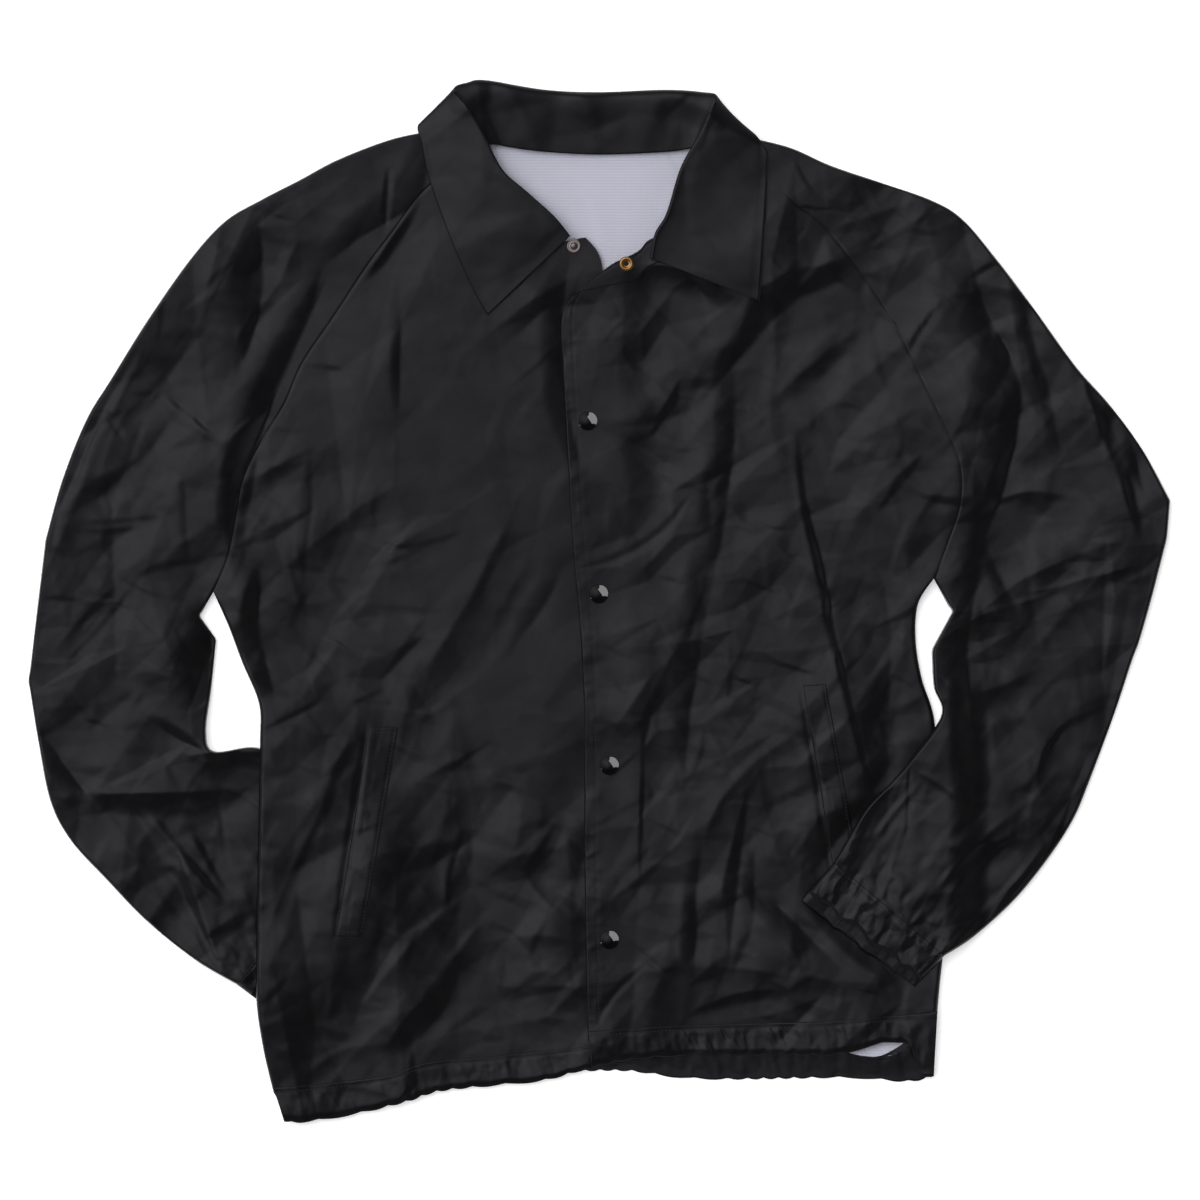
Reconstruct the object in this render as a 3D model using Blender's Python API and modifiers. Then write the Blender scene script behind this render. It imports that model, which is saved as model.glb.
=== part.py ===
"""Black snap-front windbreaker with raglan sleeves, laid out flat on its back.

Lengths in the tables are millimetres from the middle of the laid-out jacket: +X towards
the wearer's left sleeve, +Y towards the collar, +Z up out of the front. "right" and
"left" are the wearer's sides. Each piece of cloth is one sheet: a grid whose points are
set on the piece's form, with its wall added by a Solidify modifier.
"""

import math

import bmesh
import bpy
from mathutils import Vector

MM = 0.001

# Walls and clearances.
WALL = 1.2
LINING_WALL = 1.0
COLLAR_WALL = 1.8
WELT_WALL = 1.0
HEM_WALL = 1.4
SEAM_GAP = 0.5
LAY_GAP = 0.5
LINING_INSET = 9.0

# Heights above the floor.
FLAT_TOP = 5.7
LINING_TOP = 3.1
EDGE_TOP = 3.3
HEM_BACK_TOP = 2.2
CUFF_TOP = 5.6
PLACKET_STEP = 2.2
FOREARM_LIFT = 8.2
FOREARM_OVER = 8.2
COLLAR_REST = 2.6
COLLAR_ROLL = 10.0
COLLAR_BACK_ROLL = 10.0

# Raglan seams, from the neck to the armpit: x, y.
RAGLAN_RIGHT = [
    (-133, 353), (-152, 335), (-173, 306), (-194, 278), (-221, 237), (-248, 197),
    (-263, 163), (-282, 132), (-297, 100), (-303, 68), (-310, 35), (-322, 7),
]
RAGLAN_LEFT = [
    (143, 357), (162, 330), (178, 318), (192, 305), (217, 273), (244, 232),
    (268, 184), (287, 145), (300, 112), (300, 79), (290, 48), (278, 18),
]

# Outer folds of the sleeves, from the neck to a point across from the armpit: x, y.
SHOULDER_RIGHT = [
    (-133, 392), (-173, 384), (-218, 367), (-250, 350), (-283, 333), (-313, 315),
    (-342, 283), (-377, 233), (-408, 183), (-428, 150), (-448, 100), (-462, 50),
]
SHOULDER_LEFT = [
    (138, 379), (158, 377), (192, 362), (233, 348), (276, 333), (302, 317),
    (331, 283), (362, 242), (396, 195), (425, 162), (452, 125), (475, 83),
]

# Sleeves from the armpit to the cuff seam: outer fold x, y and inner edge x, y.
ARM_RIGHT = [
    (-462, 50, -322, 7), (-470, -17, -329, -14), (-476, -67, -322, -38),
    (-468, -117, -324, -75), (-458, -167, -327, -112), (-441, -200, -315, -125),
    (-411, -233, -285, -124), (-378, -267, -255, -142), (-337, -300, -233, -177),
    (-303, -320, -218, -222),
]
ARM_LEFT = [
    (475, 83, 278, 18), (472, 50, 289, -7), (460, 3, 285, -28), (446, -43, 275, -50),
    (429, -93, 282, -79), (408, -150, 278, -102), (394, -183, 260, -131),
    (372, -217, 242, -152), (345, -250, 222, -173), (312, -280, 207, -197),
    (287, -296, 195, -218),
]

# Cuff casings, seam and open end: outer fold x, y and inner fold x, y.
CUFF_RIGHT = [(-302.4, -320.5, -217.4, -222.5), (-287, -332, -207, -244)]
CUFF_LEFT = [(286.4, -296.5, 194.4, -218.5), (262, -322, 168, -250)]
CUFF_GATHERS = 8
CUFF_GATHER_RISE = 0.7

# Side edges of the body from the armpit to the hem seam: x, y.
SIDE_RIGHT = [
    (-322, 7), (-311, -17), (-302, -50), (-285, -83), (-283, -117), (-284, -167),
    (-285, -225), (-286, -283), (-286, -333), (-280, -375), (-272, -410),
]
SIDE_LEFT = [
    (278, 18), (265, -3), (263, -33), (268, -65), (278, -97), (282, -142),
    (284, -192), (285, -242), (286, -288), (283, -321), (281, -344),
]
BACK_SIDE_LEFT = SIDE_LEFT[:-1] + [(281, -344), (280, -367)]

# Front edges from the neck to the hem seam: x, y. The wearer's left front lies on top.
UNDER_EDGE = [
    (-12, 302), (1, 282), (3, 233), (7, 167), (11, 100), (15, 33), (18, -33),
    (22, -100), (24, -167), (25, -233), (26, -300), (28, -368),
]
OVER_EDGE = [
    (-23, 253), (-32, 235), (-31, 196), (-28, 142), (-25, 83), (-22, 33), (-18, -8),
    (-15, -50), (-13, -100), (-13, -158), (-13, -217), (-12, -275), (-11, -325),
    (-10, -367),
]

# Necklines, from the wearer's right to left: x, y.
NECK_FRONT_RIGHT = [(-133, 353), (-100, 321), (-58, 297), (-12, 302)]
NECK_FRONT_LEFT = [(-23, 253), (143, 357)]
NECK_BACK = [
    (-133, 353), (-97, 383), (-48, 379), (-9, 377), (27, 377), (81, 382), (143, 357),
]

# Hem seams and hem lower edges, from the wearer's right to left: x, y.
SEAM_FRONT_RIGHT = [(-272, -410), (28, -368)]
SEAM_FRONT_LEFT = [(-10, -367), (281, -344)]
SEAM_BACK = [
    (-272, -410), (-167, -397), (-50, -383), (17, -380), (83, -380), (201, -379),
    (255, -376), (280, -367),
]
LOW_FRONT_RIGHT = [
    (-263, -433), (-250, -434), (-208, -428), (-162, -417), (-133, -408), (-83, -403),
    (-46, -399), (-8, -389), (33, -383),
]
LOW_FRONT_LEFT = [
    (-7, -388), (3, -386), (25, -382), (77, -378), (152, -378), (201, -375),
    (227, -370), (255, -367), (278, -358),
]
LOW_BACK = [
    (-261, -428), (-167, -412), (-50, -395), (17, -391), (83, -398), (201, -397),
    (255, -400), (277, -396),
]
HEM_GATHER_PITCH = 20.0
HEM_GATHER_RISE = 0.6

# Collar sections from the wearer's right point round the back to the left point: neck
# seam x, y, roll line x, y, outer edge x, y, and 1 where the fall is turned under the
# stand or 0 where it lies on the jacket.
COLLAR = [
    (-37, 290, -26, 302, -94, 237, 0), (-49, 305, -39, 318, -104, 255, 0),
    (-70, 327, -61, 338, -118, 285, 0), (-92, 347, -82, 357, -131, 318, 0),
    (-103, 368, -97, 385, -142, 350, 0), (-102, 377, -110, 407, -148, 379, 0),
    (-97, 379, -121, 424, -150, 396, 0.3), (-86, 379, -110, 430, -122, 401, 0.8),
    (-75, 377, -95, 432, -92, 395, 1), (-43, 373, -46, 424, -46, 388, 1),
    (0, 371, 0, 422, 0, 387, 1), (53, 373, 54, 424, 50, 388, 1),
    (75, 376, 86, 422, 88, 392, 0.9), (81, 378, 97, 418, 119, 393, 0.4),
    (85, 375, 90, 400, 138, 375, 0), (88, 367, 81, 382, 139, 354, 0),
    (78, 345, 68, 358, 138, 329, 0), (70, 313, 57, 322, 136, 296, 0),
    (62, 295, 47, 304, 134, 262, 0), (57, 282, 43, 284, 133, 249, 0),
]

# Turned-back facing of the left front at the neck: lower edge x, y and upper edge x, y.
FACING = [
    (-18, 257, -9, 264), (8, 262, 9, 279), (32, 268, 31, 290), (38, 276, 41, 300),
]

# Welts of the slant pockets: outer edge x, y and inner edge x, y, top row first.
WELT_RIGHT = [(-192, -106, -168, -106), (-220, -280, -197, -282)]
WELT_LEFT = [(169, -71, 188, -70), (198, -246, 220, -244)]

# Snaps.
SNAP_CAPS = [(-10, 149), (-1, 5), (8, -138), (8, -283)]
SNAP_STUD = (-22, 295)
SNAP_SOCKET = (22, 280)
CAP_PROFILE = [(0, 0), (7.0, 0), (7.5, 0.5), (7.2, 1.4), (5.6, 2.3), (3.0, 2.7), (0, 2.8)]
STUD_PROFILE = [
    (0, 0), (5.6, 0), (6.0, 0.4), (5.4, 0.9), (3.0, 0.8), (2.3, 1.3), (2.6, 2.6), (2.0, 3.2), (0, 3.3),
]
SOCKET_PROFILE = [
    (1.8, 0), (5.4, 0), (6.0, 0.5), (5.7, 1.3), (4.4, 1.6), (3.4, 1.4), (2.6, 0.9), (1.8, 0.8), (1.8, 0),
]
SNAP_STEPS = 18

# Largest folds: ridge from x, y to x, y, height, reach on the broad side and reach on the
# steep side, which is on the right of the way from the first point to the second.
SHARED_FOLDS = [
    (-162, 333, -250, 229, 8, 45, 26), (-250, 229, -302, 92, 10, 40, 24),
    (142, 246, 233, 282, 8, 45, 26), (277, 329, 302, 142, 5, 26, 26),
]
BODY_FOLDS = [
    (-165, 283, -173, 125, 5, 45, 22), (-146, -38, -79, 71, 6, 50, 38),
    (-190, -112, -273, -292, 5, 40, 18), (-96, -282, -21, -288, 6, 40, 30),
    (-175, -385, -96, -282, 7, 40, 34), (-67, -227, -17, -274, 4, 24, 24),
    (-56, -162, -85, -211, 5, 34, 22), (83, 190, 142, 246, 9, 55, 26),
    (111, 185, 102, 67, 6, 45, 24), (102, 67, 88, -50, 6, 45, 24),
    (127, -131, 78, -217, 6, 40, 18), (78, -217, 75, -350, 6, 40, 18),
    (196, -60, 176, 18, 5, 34, 18), (132, -238, 174, -285, 4, 30, 26),
    (150, 171, 212, 222, 4, 30, 26),
]
SLEEVE_FOLDS = [
    (-298, 312, -277, 235, 9, 40, 34), (-400, 173, -329, 238, 8, 45, 38),
    (-357, 157, -385, 62, 6, 40, 36), (-450, -57, -375, 33, 6, 34, 20),
    (-375, -100, -393, -4, 7, 40, 42), (-438, -167, -345, -146, 7, 34, 22),
    (296, 321, 329, 250, 8, 40, 38), (329, 250, 373, 102, 10, 42, 42),
    (348, 256, 373, 123, 4, 22, 22), (405, 183, 435, 102, 5, 30, 22),
    (325, 0, 408, 25, 6, 36, 30), (395, -60, 372, -165, 6, 34, 28),
]

# Places kept free of folds, where pieces lie on each other: x, y to x, y and radius.
BODY_CALM = [
    (330, -120, 225, -275, 75), (-12, 300, 10, -365, 28), (22, 280, 40, 300, 16),
    (-180, -106, -208, -281, 13), (179, -70, 209, -245, 13),
]
SLEEVE_CALM = [(-255, -170, -265, -280, 66)]
CALM_FADE = 18.0

# Ground that the right forearm covers below the body: x, y of its corners.
LIFT_GROUND = [(-314, -114), (-250, -128), (-194, -244), (-284, -346), (-318, -322)]
LIFT_FADE = 80.0

# Grid divisions.
RAGLAN_ROWS = 11
SIDE_ROWS = 11
ARM_ROWS = 13
SLEEVE_COLUMNS = 20
FRONT_COLUMNS = 17
BACK_COLUMNS = 18
BACK_HEM_STEPS = 6


def ease(x):
    """A soft step from 0 to 1."""
    x = min(max(x, 0.0), 1.0)
    return x * x * (3 - 2 * x)


def mix(a, b, t):
    return a + (b - a) * t


def smooth(points, t):
    """The point at fraction t along a smooth line through the listed points."""
    last = len(points) - 1
    place = min(max(t, 0.0), 1.0) * last
    index = min(int(place), last - 1)
    f = place - index
    before = Vector(points[max(index - 1, 0)])
    start = Vector(points[index])
    end = Vector(points[index + 1])
    after = Vector(points[min(index + 2, last)])
    bend = 2 * before - 5 * start + 4 * end - after
    turn = 3 * start - before - 3 * end + after
    return 0.5 * (2 * start + f * (end - before) + f * f * bend + f * f * f * turn)


def nearest(x, y, x0, y0, x1, y1):
    """The fraction along a line nearest to a point, and the way from there to the point."""
    run_x = x1 - x0
    run_y = y1 - y0
    square = run_x * run_x + run_y * run_y
    t = 0.0
    if square:
        t = min(max(((x - x0) * run_x + (y - y0) * run_y) / square, 0.0), 1.0)
    return t, x - x0 - t * run_x, y - y0 - t * run_y


def fold_rise(folds, x, y):
    """How far the listed folds lift the cloth at a point."""
    rise = 0.0
    for x0, y0, x1, y1, height, broad, steep in folds:
        t, away_x, away_y = nearest(x, y, x0, y0, x1, y1)
        away = math.hypot(away_x, away_y)
        if away >= max(broad, steep):
            continue
        length = math.hypot(x1 - x0, y1 - y0)
        right = (away_x * (y1 - y0) - away_y * (x1 - x0)) / (length * max(away, 1e-6))
        reach = mix(broad, steep, (right + 1) / 2)
        if away < reach:
            swell = 0.5 + 0.5 * math.sin(math.pi * t)
            rise += height * swell * 0.5 * (1 + math.cos(math.pi * away / reach))
    return rise


def calm(places, x, y):
    """0 inside the listed places and 1 away from them."""
    amount = 1.0
    for x0, y0, x1, y1, radius in places:
        _, away_x, away_y = nearest(x, y, x0, y0, x1, y1)
        amount *= ease((math.hypot(away_x, away_y) - radius) / CALM_FADE)
    return amount


def lift(x, y):
    """How far the body is raised by the right forearm tucked below it."""
    inside = True
    away = 1e9
    for index, (x0, y0) in enumerate(LIFT_GROUND):
        x1, y1 = LIFT_GROUND[(index + 1) % len(LIFT_GROUND)]
        if (x1 - x0) * (y - y0) - (y1 - y0) * (x - x0) > 0:
            inside = False
        _, away_x, away_y = nearest(x, y, x0, y0, x1, y1)
        away = min(away, math.hypot(away_x, away_y))
    return FOREARM_LIFT * (1.0 if inside else 1 - ease(away / LIFT_FADE))


def over(x, y):
    """How far the left forearm is raised by the body that it lies on."""
    return FOREARM_OVER * ease((325 - x) / 36) * ease((-34 - y) / 55)


def body_top(x, y):
    folds = fold_rise(BODY_FOLDS, x, y) * calm(BODY_CALM, x, y)
    shared = fold_rise(SHARED_FOLDS, x, y) * calm(BODY_CALM, x, y)
    return FLAT_TOP + folds + shared + lift(x, y)


def sleeve_top(x, y):
    rise = fold_rise(SLEEVE_FOLDS, x, y) + fold_rise(SHARED_FOLDS, x, y)
    return FLAT_TOP + rise * calm(SLEEVE_CALM, x, y)


def placket_step(x, y):
    """How far the left front is raised by the right front's edge below it."""
    edge = mix(3, 28, min(max((282 - y) / 650, 0), 1))
    return PLACKET_STEP * (1 - ease((x - edge - 6) / 34))


def left_front_top(x, y):
    return body_top(x, y) + placket_step(x, y)


def two_part(first, second, v):
    """One edge made of two smooth lines, the first for the raglan rows."""
    rows = RAGLAN_ROWS + SIDE_ROWS
    row = v * rows
    if row <= RAGLAN_ROWS + 1e-6:
        return smooth(first, row / RAGLAN_ROWS)
    return smooth(second, (row - RAGLAN_ROWS) / SIDE_ROWS)


def patch(left, right, top, bottom):
    """A surface between four edges: left and right from the top, top and bottom from the left."""

    def bowed(edge, u, first, last):
        return edge(u) - mix(edge(0), edge(1), u) + mix(first, last, u)

    def at(u, v):
        sides = mix(left(v), right(v), u)
        upper = mix(left(0), right(0), u)
        lower = mix(left(1), right(1), u)
        rise = bowed(top, u, left(0), right(0)) - upper
        fall = bowed(bottom, u, left(1), right(1)) - lower
        return sides + rise * (1 - v) + fall * v

    return at


def line(points):
    return lambda t: smooth(points, t)


def inset(left, right, gap):
    """The same two edges, each moved towards the other by a gap."""

    def way(v):
        return (right(v) - left(v)).normalized() * gap

    return lambda v: left(v) + way(v), lambda v: right(v) - way(v)


def round_edge(top, low, away, radius):
    """The height of cloth that rolls down to its edge over a radius."""
    if away >= radius:
        return top
    return low + (top - low) * math.sqrt(1 - (1 - away / radius) ** 2)


windbreaker = bpy.data.collections.new("windbreaker")


def add(name, mesh, colour, metallic=0.0, roughness=0.5):
    material = bpy.data.materials.new(name)
    material.use_nodes = True
    shader = material.node_tree.nodes["Principled BSDF"]
    shader.inputs["Base Color"].default_value = (*colour, 1)
    shader.inputs["Metallic"].default_value = metallic
    shader.inputs["Roughness"].default_value = roughness
    mesh.materials.append(material)
    obj = bpy.data.objects.new(name, mesh)
    windbreaker.objects.link(obj)
    return obj


BLACK = (0.02, 0.02, 0.023)
WHITE = (0.7, 0.7, 0.74)


def sheet(name, surface, columns, rows, wall=WALL, colour=BLACK, ring=False, even=True):
    """A piece of cloth: surface(u, v) is its outer face in mm, with v running down the piece."""
    shape = bmesh.new()
    bmesh.ops.create_grid(shape, x_segments=columns, y_segments=rows, size=0.5)
    for vertex in shape.verts:
        vertex.co = surface(vertex.co.x + 0.5, 0.5 - vertex.co.y) * MM
    if ring:
        bmesh.ops.remove_doubles(shape, verts=shape.verts, dist=0.00001)
    mesh = bpy.data.meshes.new(name)
    shape.to_mesh(mesh)
    shape.free()
    obj = add(name, mesh, colour)
    solid = obj.modifiers.new("wall", "SOLIDIFY")
    solid.thickness = wall * MM
    solid.offset = -1
    solid.use_even_offset = even
    return obj


def make_back():
    right_side = lambda v: two_part(RAGLAN_RIGHT, SIDE_RIGHT, v)
    left_side = lambda v: two_part(RAGLAN_LEFT, BACK_SIDE_LEFT, v)
    outer = patch(*inset(right_side, left_side, SEAM_GAP / 2), line(NECK_BACK), line(SEAM_BACK))
    inner = patch(*inset(right_side, left_side, LINING_INSET), line(NECK_BACK), line(SEAM_BACK))

    def back(u, v):
        x, y = outer(u ** 1.25, v)
        return Vector((x, y, WALL + lift(x, y)))

    def lining(u, v):
        x, y = inner(u ** 1.25, mix(0.002, 0.994, v))
        return Vector((x, y, LINING_TOP + lift(x, y)))

    rows = RAGLAN_ROWS + SIDE_ROWS
    sheet("back", back, BACK_COLUMNS, rows)
    sheet("back_lining", lining, BACK_COLUMNS, rows, LINING_WALL, WHITE)


def make_fronts():
    right_side = lambda v: two_part(RAGLAN_RIGHT, SIDE_RIGHT, v)
    left_side = lambda v: two_part(RAGLAN_LEFT, SIDE_LEFT, v)
    armpit = RAGLAN_ROWS / (RAGLAN_ROWS + SIDE_ROWS)

    side, _ = inset(right_side, line(UNDER_EDGE), SEAM_GAP / 2)
    under = patch(side, line(UNDER_EDGE), line(NECK_FRONT_RIGHT), line(SEAM_FRONT_RIGHT))

    def front_right(u, v):
        u = u ** 1.5
        x, y = under(u, v)
        top = body_top(x, y)
        rolled = round_edge(top, EDGE_TOP + lift(x, y), (under(u, v) - side(v)).length, 16)
        return Vector((x, y, mix(top, rolled, ease((v - armpit) / 0.1))))

    _, far_side = inset(line(OVER_EDGE), left_side, SEAM_GAP / 2)
    upper = patch(line(OVER_EDGE), far_side, line(NECK_FRONT_LEFT), line(SEAM_FRONT_LEFT))

    def front_left(u, v):
        u = 1 - (1 - u) ** 1.5
        x, y = upper(u, v)
        top = left_front_top(x, y)
        rolled = round_edge(top, EDGE_TOP, (upper(u, v) - far_side(v)).length, 16)
        return Vector((x, y, mix(top, rolled, ease((v - armpit) / 0.1))))

    rows = RAGLAN_ROWS + SIDE_ROWS
    sheet("front_right", front_right, FRONT_COLUMNS, rows)
    sheet("front_left", front_left, FRONT_COLUMNS, rows)


def gathers(x, y):
    wave = math.sin(math.tau * (x / HEM_GATHER_PITCH + 0.35 * math.sin(x / 31)))
    return HEM_GATHER_RISE * wave * ease((abs(x - 10) - 30) / 25)


def make_hems():
    right_low = LOW_FRONT_RIGHT
    left_low = LOW_FRONT_LEFT
    right_hem = patch(
        line([SEAM_FRONT_RIGHT[0], right_low[0]]),
        line([SEAM_FRONT_RIGHT[1], right_low[-1]]),
        line(SEAM_FRONT_RIGHT),
        line(right_low),
    )
    left_hem = patch(
        line([SEAM_FRONT_LEFT[0], left_low[0]]),
        line([SEAM_FRONT_LEFT[1], left_low[-1]]),
        line(SEAM_FRONT_LEFT),
        line(left_low),
    )

    def back_hem(u, v):
        column = u * BACK_COLUMNS
        first = min(int(column + 1e-6), BACK_COLUMNS - 1)
        seam = [smooth(SEAM_BACK, (first + step) ** 1.25 / BACK_COLUMNS ** 1.25) for step in (0, 1)]
        return mix(mix(*seam, column - first), smooth(LOW_BACK, u ** 1.25), v)

    start = SEAM_GAP / 20

    def hem_front_right(u, v):
        x, y = right_hem(u, mix(start, 1, v))
        roll = 0.8 * ease((-250 - x) / 16) + 0.4 * ease((v - 0.7) / 0.3)
        return Vector((x, y, body_top(x, y) + gathers(x, y) * ease(4 * v) - roll))

    def hem_front_left(u, v):
        x, y = left_hem(u, mix(start, 1, v))
        roll = 0.3 * ease((x - 262) / 16) + 0.4 * ease((v - 0.7) / 0.3)
        return Vector((x, y, left_front_top(x, y) + gathers(x, y) * ease(4 * v) - roll))

    def hem_back(u, v):
        x, y = back_hem(u, mix(start, 1, v))
        return Vector((x, y, HEM_BACK_TOP + lift(x, y) + gathers(x, y)))

    sheet("hem_front_right", hem_front_right, 54, 2, HEM_WALL, even=False)
    sheet("hem_front_left", hem_front_left, 54, 2, HEM_WALL, even=False)
    sheet("hem_back", hem_back, BACK_COLUMNS * BACK_HEM_STEPS, 1, HEM_WALL, even=False)


def sleeve(name, raglan, shoulder, arm, ground, mirrored):
    """A sleeve folded along its outer side, open at the raglan and closed below the armpit."""
    outer_arm = [row[:2] for row in arm]
    inner_arm = [row[2:] for row in arm]

    def surface(u, v):
        u = 1 - u if mirrored else u
        row = v * (RAGLAN_ROWS + ARM_ROWS)
        if row <= RAGLAN_ROWS + 1e-6:
            inner = smooth(raglan, row / RAGLAN_ROWS)
            outer = smooth(shoulder, row / RAGLAN_ROWS)
        else:
            inner = smooth(inner_arm, (row - RAGLAN_ROWS) / ARM_ROWS)
            outer = smooth(outer_arm, (row - RAGLAN_ROWS) / ARM_ROWS)
        inner = inner + (outer - inner).normalized() * SEAM_GAP / 2
        turn = math.tau * u
        x, y = mix(inner, outer, 0.5 - 0.5 * math.cos(turn))
        base = ground(x, y)
        flat = abs(math.sin(turn))
        near_outer = math.cos(turn) < 0
        if u <= 0.5:
            shut = 1.0 if near_outer else ease((row - RAGLAN_ROWS + 1.5) / 3)
            z = EDGE_TOP + (sleeve_top(x, y) - EDGE_TOP) * (1 - shut * (1 - math.sqrt(flat)))
        else:
            curl = max(0.0, 1 - flat / 0.42) ** 2
            z = EDGE_TOP * curl if near_outer else 0.0
        return Vector((x, y, base + z))

    return sheet(name, surface, SLEEVE_COLUMNS, RAGLAN_ROWS + ARM_ROWS)


def cuff(name, ends, ground, mirrored):
    """A gathered casing, flattened to two layers."""

    def surface(u, v):
        u = 1 - u if mirrored else u
        ends_at = mix(Vector(ends[0]), Vector(ends[1]), v)
        turn = math.tau * u
        across = 0.5 - 0.5 * math.cos(turn)
        x, y = mix(Vector(ends_at[2:]), Vector(ends_at[:2]), across)
        flat = abs(math.sin(turn))
        if u <= 0.5:
            wave = CUFF_GATHER_RISE * math.sin(math.tau * CUFF_GATHERS * across) * flat
            z = EDGE_TOP + (CUFF_TOP - EDGE_TOP) * math.sqrt(flat) + wave
        else:
            z = EDGE_TOP * max(0.0, 1 - flat / 0.42) ** 2
        return Vector((x, y, ground(x, y) + z))

    return sheet(name, surface, 48, 2, HEM_WALL, ring=True, even=False)


def make_collar():
    def surface(u, v):
        row = smooth(COLLAR, 1 - u)
        neck = Vector(row[0:2])
        roll = Vector(row[2:4])
        edge = Vector(row[4:6])
        under = min(max(row[6], 0.0), 1.0)

        def rest(point):
            return left_front_top(*point) if point.x > 0 else body_top(*point)

        to_neck = (neck - roll).normalized()
        to_edge = (edge - roll).normalized()
        neck_z = mix(rest(neck) + COLLAR_REST, LINING_TOP + LAY_GAP + COLLAR_WALL, under)
        roll_z = mix(rest(roll) + COLLAR_ROLL, COLLAR_BACK_ROLL, under)
        edge_z = mix(rest(edge) + COLLAR_REST, 0, under)
        turned = roll + to_edge * mix(8, 5, under)
        half = mix(roll, edge, 0.55)
        stations = [
            (*neck, neck_z),
            (*mix(neck, roll, 0.5), mix(neck_z, roll_z, mix(0.6, 0.55, under))),
            (*(roll + to_neck * mix(1.0, 5.0, under)), mix(roll_z - 1.5, roll_z, under)),
            (*roll, mix(roll_z, COLLAR_BACK_ROLL / 2, under)),
            (*turned, mix(roll_z - 1.0, 0.8, under)),
            (*half, mix(mix(rest(half) + COLLAR_REST, roll_z, 0.25), 0, under)),
            (*edge, edge_z),
        ]
        point = smooth(stations, v)
        point.z = max(point.z, 0.0)
        return point

    sheet("collar", surface, 34, 9, COLLAR_WALL, even=False)


def make_trim():
    def facing(u, v):
        row = smooth(FACING, u)
        x, y = mix(Vector(row[2:]), Vector(row[:2]), v)
        return Vector((x, y, left_front_top(x, y) + LAY_GAP + WALL))

    def welt(corners, below):
        def at(u, v):
            row = mix(Vector(corners[0]), Vector(corners[1]), v)
            x, y = mix(Vector(row[:2]), Vector(row[2:]), u)
            return Vector((x, y, below(x, y) + 2 * LAY_GAP + WELT_WALL))

        return at

    sheet("facing_left", facing, 6, 3)
    sheet("welt_right", welt(WELT_RIGHT, body_top), 2, 12, WELT_WALL)
    sheet("welt_left", welt(WELT_LEFT, left_front_top), 2, 12, WELT_WALL)


def snap(name, profile, x, y, z, colour):
    """A turned snap part: its profile is radius and height pairs."""
    mesh = bpy.data.meshes.new(name)
    edges = [(index, index + 1) for index in range(len(profile) - 1)]
    mesh.from_pydata([(r * MM, 0, h * MM) for r, h in profile], edges, [])
    obj = add(name, mesh, colour, metallic=1.0, roughness=0.3)
    obj.location = Vector((x, y, z)) * MM
    turn = obj.modifiers.new("turn", "SCREW")
    turn.steps = SNAP_STEPS
    turn.render_steps = SNAP_STEPS
    turn.use_merge_vertices = True
    turn.merge_threshold = 0.00001
    turn.use_normal_calculate = True
    return obj


def make_snaps():
    for number, (x, y) in enumerate(SNAP_CAPS, 1):
        seat = left_front_top(x, y) + SEAM_GAP
        snap(f"snap_cap_{number}", CAP_PROFILE, x, y, seat, (0.03, 0.03, 0.035))
    seat = body_top(*SNAP_STUD) + SEAM_GAP
    snap("snap_stud", STUD_PROFILE, *SNAP_STUD, seat, (0.75, 0.75, 0.77))
    seat = left_front_top(*SNAP_SOCKET) + LAY_GAP + WALL + SEAM_GAP
    snap("snap_socket", SOCKET_PROFILE, *SNAP_SOCKET, seat, (0.75, 0.6, 0.35))


def centre_on_frame():
    """Moves everything so that the bottom centre of the whole is the origin."""
    bpy.context.view_layer.update()
    graph = bpy.context.evaluated_depsgraph_get()
    points = []
    for obj in windbreaker.objects:
        built = obj.evaluated_get(graph)
        points += [built.matrix_world @ vertex.co for vertex in built.data.vertices]
    low = Vector(min(point[axis] for point in points) for axis in range(3))
    high = Vector(max(point[axis] for point in points) for axis in range(3))
    for obj in windbreaker.objects:
        obj.location -= Vector(((low.x + high.x) / 2, (low.y + high.y) / 2, low.z))


for old in list(bpy.data.objects):
    bpy.data.objects.remove(old)
bpy.context.scene.collection.children.link(windbreaker)

floor = lambda x, y: 0.0
make_back()
make_fronts()
make_hems()
sleeve("sleeve_right", RAGLAN_RIGHT, SHOULDER_RIGHT, ARM_RIGHT, floor, True)
sleeve("sleeve_left", RAGLAN_LEFT, SHOULDER_LEFT, ARM_LEFT, over, False)
cuff("cuff_right", CUFF_RIGHT, floor, True)
cuff("cuff_left", CUFF_LEFT, over, False)
make_collar()
make_trim()
make_snaps()
centre_on_frame()
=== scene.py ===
"""Looks of the black snap-front windbreaker, laid out flat on its back.

Lengths in the tables are millimetres from the middle of the laid-out jacket, as in the
CAD source: +X towards the wearer's left sleeve, +Y towards the collar, +Z up out of the
front. Folds are listed in pixels of the photograph, 1.2 to a millimetre. "right" and
"left" are the wearer's sides.
"""

import math

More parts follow.
